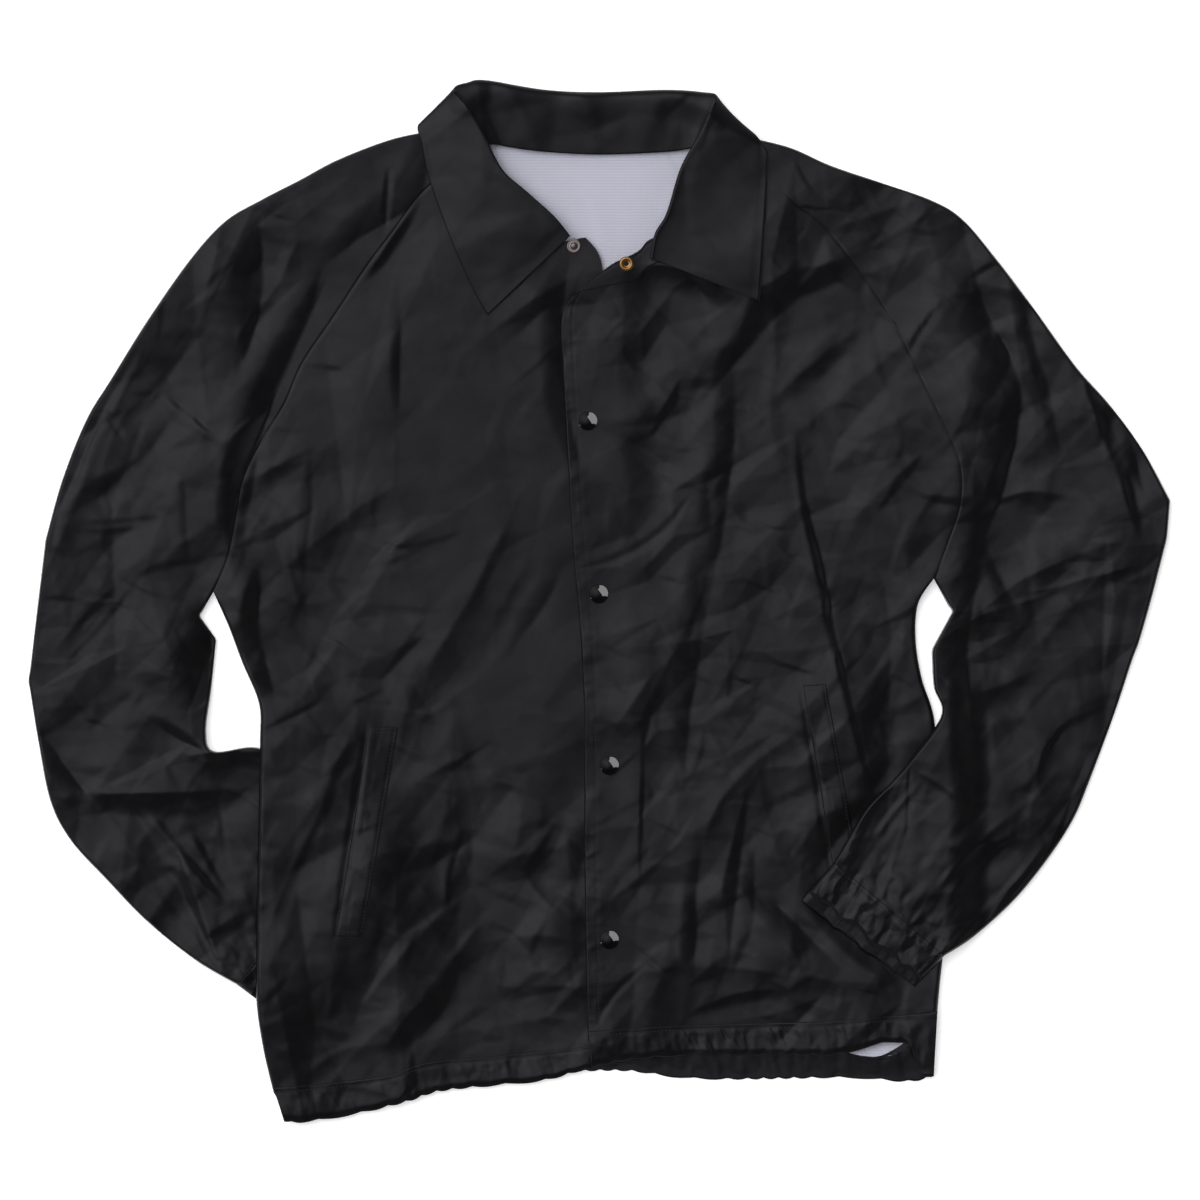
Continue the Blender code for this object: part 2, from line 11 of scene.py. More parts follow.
import bmesh
import bpy
import numpy as np
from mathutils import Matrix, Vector


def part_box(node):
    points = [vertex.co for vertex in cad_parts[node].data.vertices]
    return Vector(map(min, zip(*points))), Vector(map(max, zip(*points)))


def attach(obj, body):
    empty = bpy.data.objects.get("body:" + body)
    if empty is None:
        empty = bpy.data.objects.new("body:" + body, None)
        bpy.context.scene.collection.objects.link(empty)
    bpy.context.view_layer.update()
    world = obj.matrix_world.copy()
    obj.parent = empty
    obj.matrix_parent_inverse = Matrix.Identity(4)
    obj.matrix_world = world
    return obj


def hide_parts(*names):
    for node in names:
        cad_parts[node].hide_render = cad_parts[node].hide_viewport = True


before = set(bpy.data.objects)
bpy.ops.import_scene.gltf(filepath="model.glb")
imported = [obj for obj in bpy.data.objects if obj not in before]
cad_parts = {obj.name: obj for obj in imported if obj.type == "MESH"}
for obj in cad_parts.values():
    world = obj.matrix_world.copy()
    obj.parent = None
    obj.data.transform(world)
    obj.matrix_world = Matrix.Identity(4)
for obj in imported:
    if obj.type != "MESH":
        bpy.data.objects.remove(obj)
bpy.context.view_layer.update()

MM = 0.001
PIXELS_PER_MM = 1.2
PHOTO_MIDDLE = 600

# Heights and steps, as in the CAD source, and the way over which the body is lifted.
FLAT_TOP = 5.7
LINING_TOP = 2.4
EDGE_TOP = 3.3
HEM_BACK_TOP = 2.2
PLACKET_STEP = 2.2
FOREARM_LIFT = 8.2
FOREARM_OVER = 8.2
COLLAR_REST = 2.6
COLLAR_ROLL = 6.2
COLLAR_BACK_ROLL = 8.0
LIFT_FADE = 80.0

# Raglan seams, from the neck to the armpit: x, y.
RAGLAN_RIGHT = [
    (-133, 353), (-152, 335), (-173, 306), (-194, 278), (-221, 237), (-248, 197),
    (-263, 163), (-282, 132), (-297, 100), (-303, 68), (-310, 35), (-322, 7),
]
RAGLAN_LEFT = [
    (143, 357), (162, 330), (178, 318), (192, 305), (217, 273), (244, 232),
    (268, 184), (287, 145), (300, 112), (300, 79), (290, 48), (278, 18),
]

# Ends of the left sleeve tucked under the collar, in place of its first points: x, y.
NECK_TUCK = [(122, 366)]
NECK_TUCK_TOP = [(121, 386)]

# Outer folds of the sleeves, from the neck to a point across from the armpit: x, y.
SHOULDER_RIGHT = [
    (-133, 392), (-173, 384), (-218, 367), (-250, 350), (-283, 333), (-313, 315),
    (-342, 283), (-377, 233), (-408, 183), (-428, 150), (-448, 100), (-462, 50),
]
SHOULDER_LEFT = [
    (138, 379), (158, 377), (192, 362), (233, 348), (276, 333), (302, 317),
    (331, 283), (362, 242), (396, 195), (425, 162), (452, 125), (475, 83),
]

# Sleeves from the armpit to the cuff seam: outer fold x, y and inner edge x, y.
ARM_RIGHT = [
    (-462, 50, -322, 7), (-468, 0, -330.5, -8), (-470, -17, -333, -13),
    (-471.5, -30, -330, -18), (-474.5, -56, -323, -28), (-476, -67, -320, -33),
    (-474.5, -77, -320.5, -40), (-468, -117, -324, -75), (-458, -167, -328, -110),
    (-441, -200, -321, -126),
    (-411, -233, -285, -123), (-378, -267, -255, -142), (-337, -300, -233, -177),
    (-303, -320, -218, -222),
]
ARM_LEFT = [
    (475, 83, 278, 18), (473, 58, 289, -2.5), (472, 50, 293, -9), (469, 38, 291, -14),
    (460, 3, 285, -25), (450, -32, 278.5, -37), (446, -43, 276.5, -42),
    (442, -54, 276.5, -50), (429, -93, 278, -73), (408, -150, 284, -96),
    (394, -183, 260, -131),
    (372, -217, 242, -152), (345, -250, 222, -173), (312, -280, 207, -197),
    (287, -296, 195, -218),
]

# Cuff casings, seam and open end: outer fold x, y and inner fold x, y.
CUFF_RIGHT = [(-303, -320, -218, -222), (-287, -332, -207, -244)]
CUFF_LEFT = [(287, -296, 195, -218), (262, -322, 168, -250)]

# Side edges of the body from the armpit to the hem seam: x, y.
SIDE_RIGHT = [
    (-322, 7), (-310, -20), (-298, -52), (-284, -86), (-283, -117), (-284, -167),
    (-285, -225), (-286, -283), (-286, -333), (-280, -375), (-272, -410),
]
SIDE_LEFT = [
    (278, 18), (265, -3), (263, -33), (268, -65), (278, -97), (282, -142),
    (284, -192), (285, -242), (286, -288), (283, -321), (281, -344),
]
BACK_SIDE_LEFT = SIDE_LEFT + [(280, -360)]

# Front edges from the neck to the hem seam: x, y. The wearer's left front lies on top.
UNDER_EDGE = [
    (-12, 302), (1, 282), (3, 233), (7, 167), (11, 100), (15, 33), (18, -33),
    (22, -100), (24, -167), (25, -233), (26, -300), (28, -368),
]
OVER_EDGE = [
    (-23, 253), (-32, 235), (-31, 196), (-28, 142), (-25, 83), (-22, 33), (-18, -8),
    (-15, -50), (-13, -100), (-13, -158), (-13, -217), (-12, -275), (-11, -325),
    (-10, -367),
]

# Necklines, from the wearer's right to left: x, y.
NECK_FRONT_RIGHT = [(-133, 353), (-100, 321), (-58, 297), (-12, 302)]
NECK_FRONT_LEFT = [(-23, 253), (143, 357)]
NECK_BACK = [
    (-133, 353), (-97, 383), (-48, 379), (-9, 377), (27, 377), (81, 382), (143, 357),
]

# Hem seams and hem lower edges, from the wearer's right to left: x, y.
SEAM_FRONT_RIGHT = [
    (-272, -410), (-225, -406), (-178, -400), (-143, -389), (-90, -384), (-12, -376), (28, -370),
]
SEAM_FRONT_LEFT = [(-10, -363), (77, -358), (182, -355), (236, -351), (281, -346)]
SEAM_BACK = [
    (-272, -410), (-167, -397), (-50, -379), (17, -374), (83, -371), (170, -370),
    (201, -376), (220, -380), (240, -380), (257, -372), (268, -364), (280, -360),
]
LOW_FRONT_RIGHT = [
    (-263, -433), (-250, -434), (-208, -428), (-162, -417), (-133, -408), (-83, -403),
    (-46, -399), (-8, -389), (33, -383),
]
LOW_FRONT_LEFT = [
    (-7, -388), (3, -386), (25, -382), (77, -378), (130, -378), (180, -378), (202, -377),
    (227, -370), (247, -367), (258, -371), (263, -384), (270, -396), (278, -395),
]
LOW_BACK = [
    (-261, -428), (-167, -412), (-50, -395), (17, -391), (83, -398), (201, -397),
    (255, -400), (277, -396),
]

# Collar sections from the wearer's right point round the back to the left point: neck
# seam x, y, roll line x, y, outer edge x, y, and 1 where the fall is turned under the
# stand or 0 where it lies on the jacket.
COLLAR = [
    (-37, 290, -26, 302, -94, 237, 0), (-49, 305, -39, 318, -104, 255, 0),
    (-70, 327, -61, 338, -118, 285, 0), (-92, 347, -82, 357, -131, 318, 0),
    (-103, 368, -97, 385, -142, 350, 0), (-102, 377, -110, 407, -148, 379, 0),
    (-97, 379, -121, 424, -150, 396, 0.3), (-86, 379, -110, 430, -122, 401, 0.8),
    (-75, 377, -95, 432, -92, 395, 1), (-43, 373, -46, 424, -46, 388, 1),
    (0, 371, 0, 422, 0, 387, 1), (53, 373, 54, 424, 50, 388, 1),
    (75, 376, 86, 422, 88, 392, 0.9), (81, 378, 97, 418, 119, 393, 0.4),
    (85, 375, 90, 400, 138, 375, 0), (88, 367, 81, 382, 139, 354, 0),
    (78, 345, 68, 358, 138, 329, 0), (70, 313, 57, 322, 136, 296, 0),
    (62, 295, 47, 304, 134, 262, 0), (57, 282, 43, 284, 133, 249, 0),
]

# Turned-back facing of the left front at the neck: lower edge x, y and upper edge x, y.
FACING = [
    (-18, 257, -9, 264), (8, 262, 9, 279), (32, 268, 31, 290), (38, 276, 41, 300),
    (52, 283, 56, 304),
]

# Welts of the slant pockets: outer edge x, y and inner edge x, y, top row first.
WELT_RIGHT = [(-192, -106, -168, -106), (-220, -280, -197, -282)]
WELT_LEFT = [(169, -71, 188, -70), (198, -246, 220, -244)]

# Snaps: places and turned profiles of radius and height.
SNAP_CAPS = [(-10, 149), (-1, 5), (8, -138), (8, -283)]
SNAP_STUD = (-22, 295)
SNAP_SOCKET = (22, 280)
CAP_PROFILE = [
    (0.01, 2.8), (1.2, 2.75), (2.4, 2.6), (3.6, 2.33), (4.7, 1.98), (5.7, 1.57),
    (6.6, 1.2), (7.4, 0.9), (7.75, 0.75), (7.9, 0.5), (7.9, 0.15), (7.8, 0),
]
STUD_PROFILE = [
    (0.01, 3.3), (1.4, 3.28), (2.0, 3.15), (2.45, 2.8), (2.6, 2.5), (2.5, 2.1),
    (2.2, 1.6), (2.2, 1.25), (2.6, 0.95), (3.0, 0.8), (4.4, 0.75), (5.2, 0.9),
    (5.7, 0.8), (6.0, 0.45), (5.9, 0.15), (5.6, 0),
]
SOCKET_PROFILE = [
    (1.8, 0), (1.8, 0.75), (2.1, 0.9), (2.6, 0.9), (3.1, 1.1), (3.5, 1.45),
    (4.3, 1.65), (5.1, 1.55), (5.7, 1.25), (6.0, 0.6), (5.85, 0.2), (5.4, 0),
]

# Ground that the right forearm covers below the body: x, y of its corners.
LIFT_GROUND = [(-314, -114), (-250, -128), (-194, -244), (-284, -346), (-318, -322)]

# Folds in pixels of the photograph: breadth of the steep side, its slope and points along
# the ridge. The steep side is on the right of the way along.
UPPER_FOLDS = [
    (30, 0.20, [(203, 314), (214, 262), (222, 224)]),
    (6, 0.35, [(166, 391), (190, 411), (219, 436)]),
    (33, 0.20, [(176, 412), (154, 469), (128, 520)]),
    (5, 0.40, [(70, 523), (115, 519), (160, 517)]),
    (5, 0.35, [(68, 532), (110, 529), (150, 524)]),
    (10, 0.12, [(184, 462), (188, 505), (191, 566)]),
    (10, 0.45, [(360, 283), (390, 240), (418, 200)]),
    (5, 0.30, [(298, 364), (320, 365), (344, 368)]),
    (15, 0.28, [(238, 483), (276, 464), (314, 445)]),
    (16, 0.22, [(764, 340), (820, 318), (874, 304)]),
    (20, 0.25, [(762, 404), (820, 356), (870, 320)]),
    (28, 0.15, [(826, 229), (870, 215), (914, 197)]),
    (6, 0.30, [(795, 158), (806, 177), (818, 194)]),
    (14, 0.15, [(1053, 468), (1038, 400), (1025, 344), (1014, 284)]),
    (12, 0.40, [(1136, 536), (1118, 480), (1098, 425), (1080, 376)]),
]
BODY_FOLDS = [
    (18, 0.22, [(562, 567), (546, 600), (515, 648)]),
    (6, 0.25, [(374, 537), (408, 543), (462, 529)]),
    (6, 0.25, [(380, 564), (405, 553), (432, 540)]),
    (5, 0.45, [(262, 730), (295, 712), (330, 695)]),
    (5, 0.35, [(348, 704), (365, 696), (386, 686)]),
    (12, 0.12, [(278, 853), (319, 797), (374, 690)]),
    (28, 0.18, [(452, 808), (425, 845), (404, 868), (387, 915), (366, 978)]),
    (7, 0.30, [(466, 825), (452, 880), (451, 918)]),
    (28, 0.22, [(518, 875), (538, 844), (559, 812)]),
    (22, 0.15, [(586, 934), (545, 905), (517, 863)]),
    (10, 0.18, [(584, 953), (535, 982), (495, 1006), (436, 1044)]),
    (16, 0.22, [(290, 1087), (337, 1051), (391, 1040)]),
    (14, 0.20, [(324, 1024), (329, 990), (334, 954)]),
    (6, 0.30, [(256, 1005), (272, 988), (290, 972)]),
    (20, 0.14, [(682, 474), (640, 450), (595, 428)]),
    (9, 0.60, [(799, 432), (806, 500), (818, 555), (845, 666), (860, 735), (878, 806)]),
    (30, 0.15, [(876, 560), (893, 640), (886, 756)]),
    (30, 0.16, [(800, 758), (762, 827), (730, 855)]),
    (14, 0.22, [(757, 842), (753, 923), (730, 980)]),
    (26, 0.20, [(751, 878), (795, 920), (842, 968)]),
    (12, 0.30, [(653, 847), (618, 885), (604, 919)]),
    (8, 0.25, [(578, 830), (620, 808), (662, 785)]),
    (12, 0.25, [(684, 1014), (736, 993), (787, 988)]),
]
ARM_FOLDS = [
    (7, 0.35, [(60, 665), (110, 610), (146, 567), (210, 557)]),
    (12, 0.25, [(204, 753), (172, 735), (144, 716)]),
    (20, 0.20, [(42, 730), (70, 770), (102, 810)]),
    (8, 0.25, [(153, 810), (190, 855), (230, 905)]),
    (6, 0.25, [(188, 818), (210, 860), (232, 898)]),
    (12, 0.25, [(984, 545), (1002, 580), (1022, 615)]),
    (14, 0.20, [(965, 808), (1029, 779), (1052, 724)]),
    (24, 0.20, [(915, 853), (970, 845), (1033, 836)]),
    (14, 0.22, [(920, 894), (975, 888), (1036, 879)]),
    (8, 0.30, [(1033, 818), (985, 868), (937, 918)]),
    (8, 0.30, [(912, 769), (940, 785), (969, 803)]),
    (14, 0.25, [(1022, 594), (1075, 580), (1135, 566)]),
    (26, 0.12, [(1130, 584), (1112, 690), (1088, 796)]),
]

# Broad slopes in pixels: rows as for the folds.
UPPER_BANDS = [
    (30, 0.34, [(862, 274), (826, 288), (783, 314), (743, 354), (716, 386), (694, 412)]),
    (24, 0.55, [(330, 276), (304, 330), (282, 383), (248, 462), (236, 508), (234, 560)]),
    (30, 0.30, [(428, 130), (420, 198), (366, 236), (325, 265)]),
    (32, 0.36, [(328, 262), (302, 330), (272, 400), (254, 480), (247, 575)]),
    (36, 0.34, [(262, 222), (266, 270), (258, 320), (240, 375)]),
    (34, 0.20, [(210, 326), (160, 385), (118, 428)]),
    (26, 0.24, [(680, 352), (730, 302), (795, 273), (855, 252), (892, 234)]),
    (30, 0.28, [(606, 280), (650, 264), (700, 272), (742, 300)]),
    (54, 0.38, [
        (960, 205), (984, 300), (1012, 360), (1022, 420), (1006, 485), (980, 550), (972, 605),
    ]),
    (22, 0.20, [(1020, 290), (1046, 380), (1066, 470)]),
]
BODY_BANDS = [
    (12, 0.18, [(400, 280), (400, 350), (398, 420)]),
    (24, 0.28, [(572, 245), (564, 300), (563, 360), (575, 432), (584, 480)]),
    (46, 0.20, [(395, 775), (408, 700), (450, 630), (488, 560), (522, 490)]),
    (10, 0.18, [(262, 960), (275, 905), (315, 822), (352, 730)]),
    (36, 0.16, [(878, 805), (850, 690), (828, 580)]),
    (30, 0.24, [(736, 360), (734, 420), (728, 504), (704, 624), (686, 744), (686, 800)]),
    (40, 0.24, [(700, 850), (720, 800), (760, 755), (805, 728)]),
    (16, 0.26, [(704, 830), (698, 900), (696, 1000)]),
    (22, 0.20, [(805, 890), (850, 930), (895, 975)]),
    (50, 0.14, [(942, 920), (932, 960), (925, 1015)]),
    (60, 0.11, [(620, 975), (700, 965), (800, 975), (900, 985)]),
    (26, 0.22, [(592, 815), (585, 860), (572, 905)]),
    (30, 0.26, [(378, 1052), (425, 992), (480, 922)]),
    (50, 0.12, [(490, 985), (540, 985), (600, 985)]),
    (20, 0.16, [(470, 820), (472, 880), (440, 950)]),
    (24, 0.16, [(470, 945), (530, 935), (590, 945)]),
    (12, 0.20, [(312, 450), (310, 520), (306, 600)]),
    (30, 0.32, [(262, 568), (262, 630), (276, 700)]),
    (28, 0.14, [(690, 412), (650, 424), (610, 428)]),
    (16, 0.20, [(905, 745), (850, 825), (805, 885)]),
]
ARM_BANDS = [
    (44, 0.36, [(988, 535), (978, 590), (968, 640), (970, 700), (978, 745)]),
    (11, -0.35, [(50, 561), (59, 513), (79, 464), (103, 410), (138, 348)]),
    (58, 0.36, [(204, 590), (213, 640), (208, 726)]),
    (18, 0.16, [(52, 650), (95, 600), (140, 565)]),
    (52, 0.42, [(186, 754), (230, 750), (276, 752)]),
    (26, 0.26, [(66, 792), (130, 792), (200, 790), (262, 786)]),
    (52, 0.32, [(930, 646), (980, 615), (1050, 593)]),
    (18, 0.20, [(1000, 590), (1060, 560), (1125, 535)]),
    (12, 0.20, [(1125, 415), (1145, 495)]),
    (44, 0.20, [(985, 506), (1030, 492), (1085, 500)]),
    (24, 0.18, [(925, 700), (985, 690), (1040, 668)]),
    (24, 0.14, [(920, 850), (990, 830), (1060, 770)]),
]

# Narrow troughs in pixels: half breadth, depth in mm and points along the bottom.
UPPER_TROUGHS = [
    (5, 0.8, [(104, 409), (114, 424), (125, 440)]),
    (5, 1.0, [(389, 166), (386, 200), (388, 228)]),
]
BODY_TROUGHS = [
    (6, 1.3, [(370, 716), (352, 832), (334, 946)]),
    (5, 1.0, [(799, 684), (817, 790), (833, 886)]),
    (7, 0.9, [(692, 494), (661, 532), (618, 558), (576, 569)]),
    (5, 0.8, [(615, 935), (642, 954), (670, 977)]),
    (5, 0.8, [(592, 1031), (613, 997), (650, 961)]),
]
ARM_TROUGHS = [
    (3, 0.8, [(215, 786), (221, 826), (228, 870)]),
    (3, 0.8, [(910, 762), (908, 800), (906, 840)]),
]

# Soft folds of the collar stand and the lining in pixels: breadth of the steep side, its
# slope, breadth of the other side and points along the ridge.
STAND_FOLDS = [
    (20, 0.12, 30, [(498, 74), (516, 104), (540, 158)]),
    (22, 0.12, 30, [(566, 74), (588, 108), (612, 160)]),
    (14, 0.10, 24, [(640, 160), (652, 120), (668, 80)]),
    (14, 0.14, 20, [(724, 128), (704, 108), (664, 92)]),
    (12, 0.14, 20, [(452, 112), (470, 98), (490, 88)]),
]
LINING_FOLDS = [
    (6, 0.18, 18, [(583, 186), (596, 214), (603, 258)]),
    (14, 0.10, 20, [(536, 182), (545, 205), (560, 228)]),
    (14, 0.10, 20, [(690, 178), (676, 200), (660, 222)]),
]

# Seams of the lining in pixels: points along each.
LINING_SEAMS = [
    [(503, 138), (497, 146), (490, 155)],
    [(660, 144), (672, 158), (686, 174)],
    [(680, 140), (687, 147), (696, 155)],
    [(530, 166), (600, 169), (672, 166)],
]

# Places kept free of folds: x, y to x, y in mm and radius.
BODY_CALM = [(330, -120, 245, -245, 40)]
ARM_CALM = [(-240, -170, -250, -280, 26)]
CALM_FADE = 30.0
SNAP_RADIUS = 8
SNAP_CALM = [(x, y, x, y, SNAP_RADIUS) for x, y in SNAP_CAPS + [SNAP_STUD, SNAP_SOCKET]]
SNAP_FADE = 46.0

# Places that are less crumpled than the rest, in the same way.
SMOOTH_PLACES = [(-190, 200, -70, 130, 60), (-90, 60, -60, -60, 40), (-160, 330, 120, 420, 60)]
SMOOTH_FADE = 60.0
LEAST_CRUMPLE = 0.3


def ease(x):
    """A soft step from 0 to 1."""
    x = np.clip(x, 0.0, 1.0)
    return x * x * (3 - 2 * x)


def mix(a, b, t):
    return a + (b - a) * t


def xy(points):
    return points[..., 0], points[..., 1]


def smooth(points, t):
    """Points at fractions t along a smooth line through the listed points."""
    p = np.asarray(points, float)
    last = len(p) - 1
    place = np.clip(t, 0, 1) * last
    index = np.minimum(place.astype(int), last - 1)
    f = (place - index).reshape(-1, *[1] * (p.ndim - 1))
    before, start = p[np.maximum(index - 1, 0)], p[index]
    end, after = p[index + 1], p[np.minimum(index + 2, last)]
    bend = 2 * before - 5 * start + 4 * end - after
    turn = 3 * start - before - 3 * end + after
    return 0.5 * (2 * start + f * (end - before) + f * f * bend + f**3 * turn)


def from_photo(points):
    """Pixels of the photograph as mm."""
    p = np.asarray(points, float)
    return np.stack([p[:, 0] - PHOTO_MIDDLE, PHOTO_MIDDLE - p[:, 1]], 1) / PIXELS_PER_MM


# Height maps, on one even grid of the ground.
STEP = 1.25
XS = np.arange(-495, 495, STEP)
YS = np.arange(-455, 445, STEP)
GROUND_X, GROUND_Y = np.meshgrid(XS, YS)
GROUND_SPAN = 1400
FAR = 1e9
LINE_STEPS = 8


def to_segment(x, y, start, end, square=None):
    """The fraction along a segment nearest to each place, and the way from there to it."""
    (x0, y0), (x1, y1) = start, end
    run_x, run_y = x1 - x0, y1 - y0
    square = square or run_x**2 + run_y**2 or 1.0
    t = np.clip(((x - x0) * run_x + (y - y0) * run_y) / square, 0, 1)
    return t, x - x0 - t * run_x, y - y0 - t * run_y


def beside(points, reach):
    """The window of ground within reach of a line, the fraction along the line nearest to
    each place in it, the way from the line to the place, above 0 on the right, and the
    direction to the right there."""
    path = smooth(points, np.linspace(0, 1, LINE_STEPS * (len(points) - 1) + 1))
    low, high = path.min(0) - reach, path.max(0) + reach
    window = (
        slice(*np.searchsorted(YS, (low[1], high[1]))),
        slice(*np.searchsorted(XS, (low[0], high[0]))),
    )
    x, y = GROUND_X[window], GROUND_Y[window]
    away, side = np.full(x.shape, FAR), np.ones(x.shape)
    along, right_x, right_y = np.zeros((3, *x.shape))
    steps = np.linalg.norm(np.diff(path, axis=0), axis=1)
    passed = 0.0
    for start, end, step in zip(path[:-1], path[1:], steps):
        run_x, run_y = end - start
        t, off_x, off_y = to_segment(x, y, start, end, step**2)
        off = np.hypot(off_x, off_y)
        closer = off < away
        away = np.where(closer, off, away)
        along = np.where(closer, passed + t * step, along)
        side = np.where(closer, np.where(off_x * run_y - off_y * run_x > 0, 1, -1), side)
        right_x = np.where(closer, run_y / step, right_x)
        right_y = np.where(closer, -run_x / step, right_y)
        passed += step
    return window, along / passed, away * side, right_x, right_y


# Folds and strips: shares of the length and the breadth, and CREST and STRIP_CREST in mm.
FOLD_TAPER = 0.28
TAPER_POWER = 0.7
END_BREADTH = 0.35
CREST = 0.6
FOLD_FOOT = 1.4
FOOT_RISE = 0.3
STRIP_FOOT = 1.2
STRIP_CREST = 1.5


def taper(t):
    """1 along the middle of a fold and 0 at its ends."""
    return np.clip(np.minimum(t, 1 - t) / FOLD_TAPER, 0, 1) ** TAPER_POWER


def add_fold(field, steep, slope, broad, points, crest):
    """A ridge with one steep side and one broad side, in mm, with pointed ends."""
    window, t, off, _, _ = beside(points, max(FOLD_FOOT * steep, broad))
    swell = taper(t)
    narrowed = mix(END_BREADTH, 1, swell)
    away = np.sqrt(off * off + crest * crest) - crest
    near = np.clip(away / (steep * narrowed), 0, FOLD_FOOT)
    knee = FOLD_FOOT / 2
    right = np.where(near < knee, 1 - near, FOOT_RISE * ((FOLD_FOOT - near) / knee) ** 2)
    left = np.clip(1 - away / (broad * narrowed), 0, 1) ** 1.5
    field[window] += slope * steep * swell * np.where(off > 0, right, left)


def fold_map(rows, crest=CREST):
    """The heights of folds listed in pixels: steep side, slope, broad side and points."""
    field = np.zeros(GROUND_X.shape)
    for steep, slope, broad, points in rows:
        steep, broad = steep / PIXELS_PER_MM, broad / PIXELS_PER_MM
        add_fold(field, steep, slope, broad, from_photo(points), crest)
    return field


def add_trough(field, half, depth, points):
    window, t, off, _, _ = beside(points, half)
    field[window] -= depth * np.maximum(taper(t) - np.abs(off) / half, 0)


def add_slope(fall, steep, slope, points):
    """A strip that falls to the right of a line, with a crisp upper side."""
    window, t, off, right_x, right_y = beside(points, STRIP_FOOT * steep)
    swell = taper(t)
    reach = steep * mix(END_BREADTH, 1, swell)
    fading = np.clip(1.15 - off / (STRIP_FOOT * reach), 0, 1)
    amount = slope * swell * ease(off / STRIP_CREST) * fading
    amount *= ease((STRIP_FOOT - off / reach) / 0.4)
    fall[0][window] += amount * right_x
    fall[1][window] += amount * right_y


def blur(field, radius):
    """Three running means in each direction."""
    half = max(1, round(radius / STEP))
    for axis in (0, 1) * 3:
        padded = np.pad(
            field, [(half + 1, half) if k == axis else (0, 0) for k in (0, 1)], mode="edge"
        )
        total = np.cumsum(padded, axis=axis)
        upper = np.take(total, range(2 * half + 1, total.shape[axis]), axis=axis)
        lower = np.take(total, range(0, total.shape[axis] - 2 * half - 1), axis=axis)
        field = (upper - lower) / (2 * half + 1)
    return field


def spread(field, radius):
    """The highest value within a square of that radius."""
    half = round(radius / STEP)
    for axis in (0, 1):
        shifts = range(-half, half + 1)
        field = np.max([np.roll(field, shift, axis) for shift in shifts], axis=0)
    return field


def waves(seed, pitch):
    """Smooth random ground of about that pitch, from -1 to 1."""
    random = np.random.default_rng(seed)
    soft = blur(random.uniform(-1, 1, GROUND_X.shape), pitch / 2)
    return soft / np.abs(soft).max()


FACET_JITTER = 0.36
NEIGHBOURS = [(i, j) for i in (-1, 0, 1) for j in (-1, 0, 1)]


def tiles(random, low, high, pitch, way, stretch):
    """Tiles of the ground with a point thrown from low to high in each: their number along a
    side, and a function for a neighbour's index and the way to its point."""
    cos, sin = math.cos(way), math.sin(way)
    x = (GROUND_X * cos + GROUND_Y * sin) / (stretch * pitch)
    y = (GROUND_Y * cos - GROUND_X * sin) / pitch
    size = int(GROUND_SPAN / pitch)
    jitter = random.uniform(low, high, (2, size, size))
    column, row = np.floor(x).astype(int), np.floor(y).astype(int)

    def neighbour(i, j):
        at = (column + i) % size, (row + j) % size
        return at, column + i + jitter[0][at] - x, row + j + jitter[1][at] - y

    return size, neighbour


def patches(seed, pitch, way, stretch, count):
    """Random values from -1 to 1, each the same all over a patch of about that pitch."""
    random = np.random.default_rng(seed)
    size, neighbour = tiles(random, 0.0, 1.0, pitch, way, stretch)
    values = random.uniform(-1, 1, (count, size, size))
    nearest = np.full(GROUND_X.shape, FAR)
    found = np.zeros((count, *GROUND_X.shape))
    for i, j in NEIGHBOURS:
        at, off_x, off_y = neighbour(i, j)
        away = off_x**2 + off_y**2
        closer = away < nearest
        nearest = np.where(closer, away, nearest)
        found = np.where(closer, values[:, at[0], at[1]], found)
    return found


def facets(seed, pitch, tilt, way, stretch):
    """Heights of flat three-cornered facets with crisp edges, about a pitch broad and longer
    by stretch along a direction: tilt is their usual slope."""
    random = np.random.default_rng(seed)
    size, neighbour = tiles(random, -FACET_JITTER, FACET_JITTER, pitch, way, stretch)
    heights = random.uniform(-1, 1, (size, size)) * tilt * pitch
    field = np.zeros(GROUND_X.shape)
    for i, j in NEIGHBOURS:
        corners = []
        for a, c in ((i, j), (i + 1, j), (i + 1, j + 1), (i, j + 1)):
            at, off_x, off_y = neighbour(a, c)
            corners.append((off_x, off_y, heights[at]))
        for three in ((0, 1, 2), (0, 2, 3)):
            (ax, ay, az), (bx, by, bz), (cx, cy, cz) = (corners[k] for k in three)
            shares = bx * cy - by * cx, cx * ay - cy * ax, ax * by - ay * bx
            inside = np.minimum(np.minimum(shares[0], shares[1]), shares[2]) >= 0
            whole = np.maximum(shares[0] + shares[1] + shares[2], 1e-9)
            height = (shares[0] * az + shares[1] * bz + shares[2] * cz) / whole
            field = np.where(inside, height, field)
    return field


# Usual ways of the thrown creases, in radians, with their swings and shares.
CREASE_WAYS = [(1.05, 0.25), (1.9, 0.25), (0.3, 0.8)]
CREASE_SHARES = [0.55, 0.27, 0.18]
CREASE_BOW = 0.15


def add_creases(fall, seed, count, length, breadth, slope):
    """Straight creases thrown over the ground, most of them along the cloth's usual ways."""
    random = np.random.default_rng(seed)
    for _ in range(count):
        middle = np.array([random.uniform(-480, 480), random.uniform(-430, 400)])
        way, swing = CREASE_WAYS[random.choice(len(CREASE_WAYS), p=CREASE_SHARES)]
        turn = way + random.normal(0, swing) + math.pi * random.integers(0, 2)
        half = 0.5 * length * random.uniform(0.3, 1.0) ** 1.5
        run = half * np.array([math.cos(turn), math.sin(turn)])
        bow = np.array([-run[1], run[0]]) * random.uniform(-CREASE_BOW, CREASE_BOW)
        steep = breadth * random.uniform(0.25, 1.0) ** 1.5
        points = [middle - run, middle + bow, middle + run]
        add_slope(fall, steep, slope * random.uniform(0.3, 1.0), points)


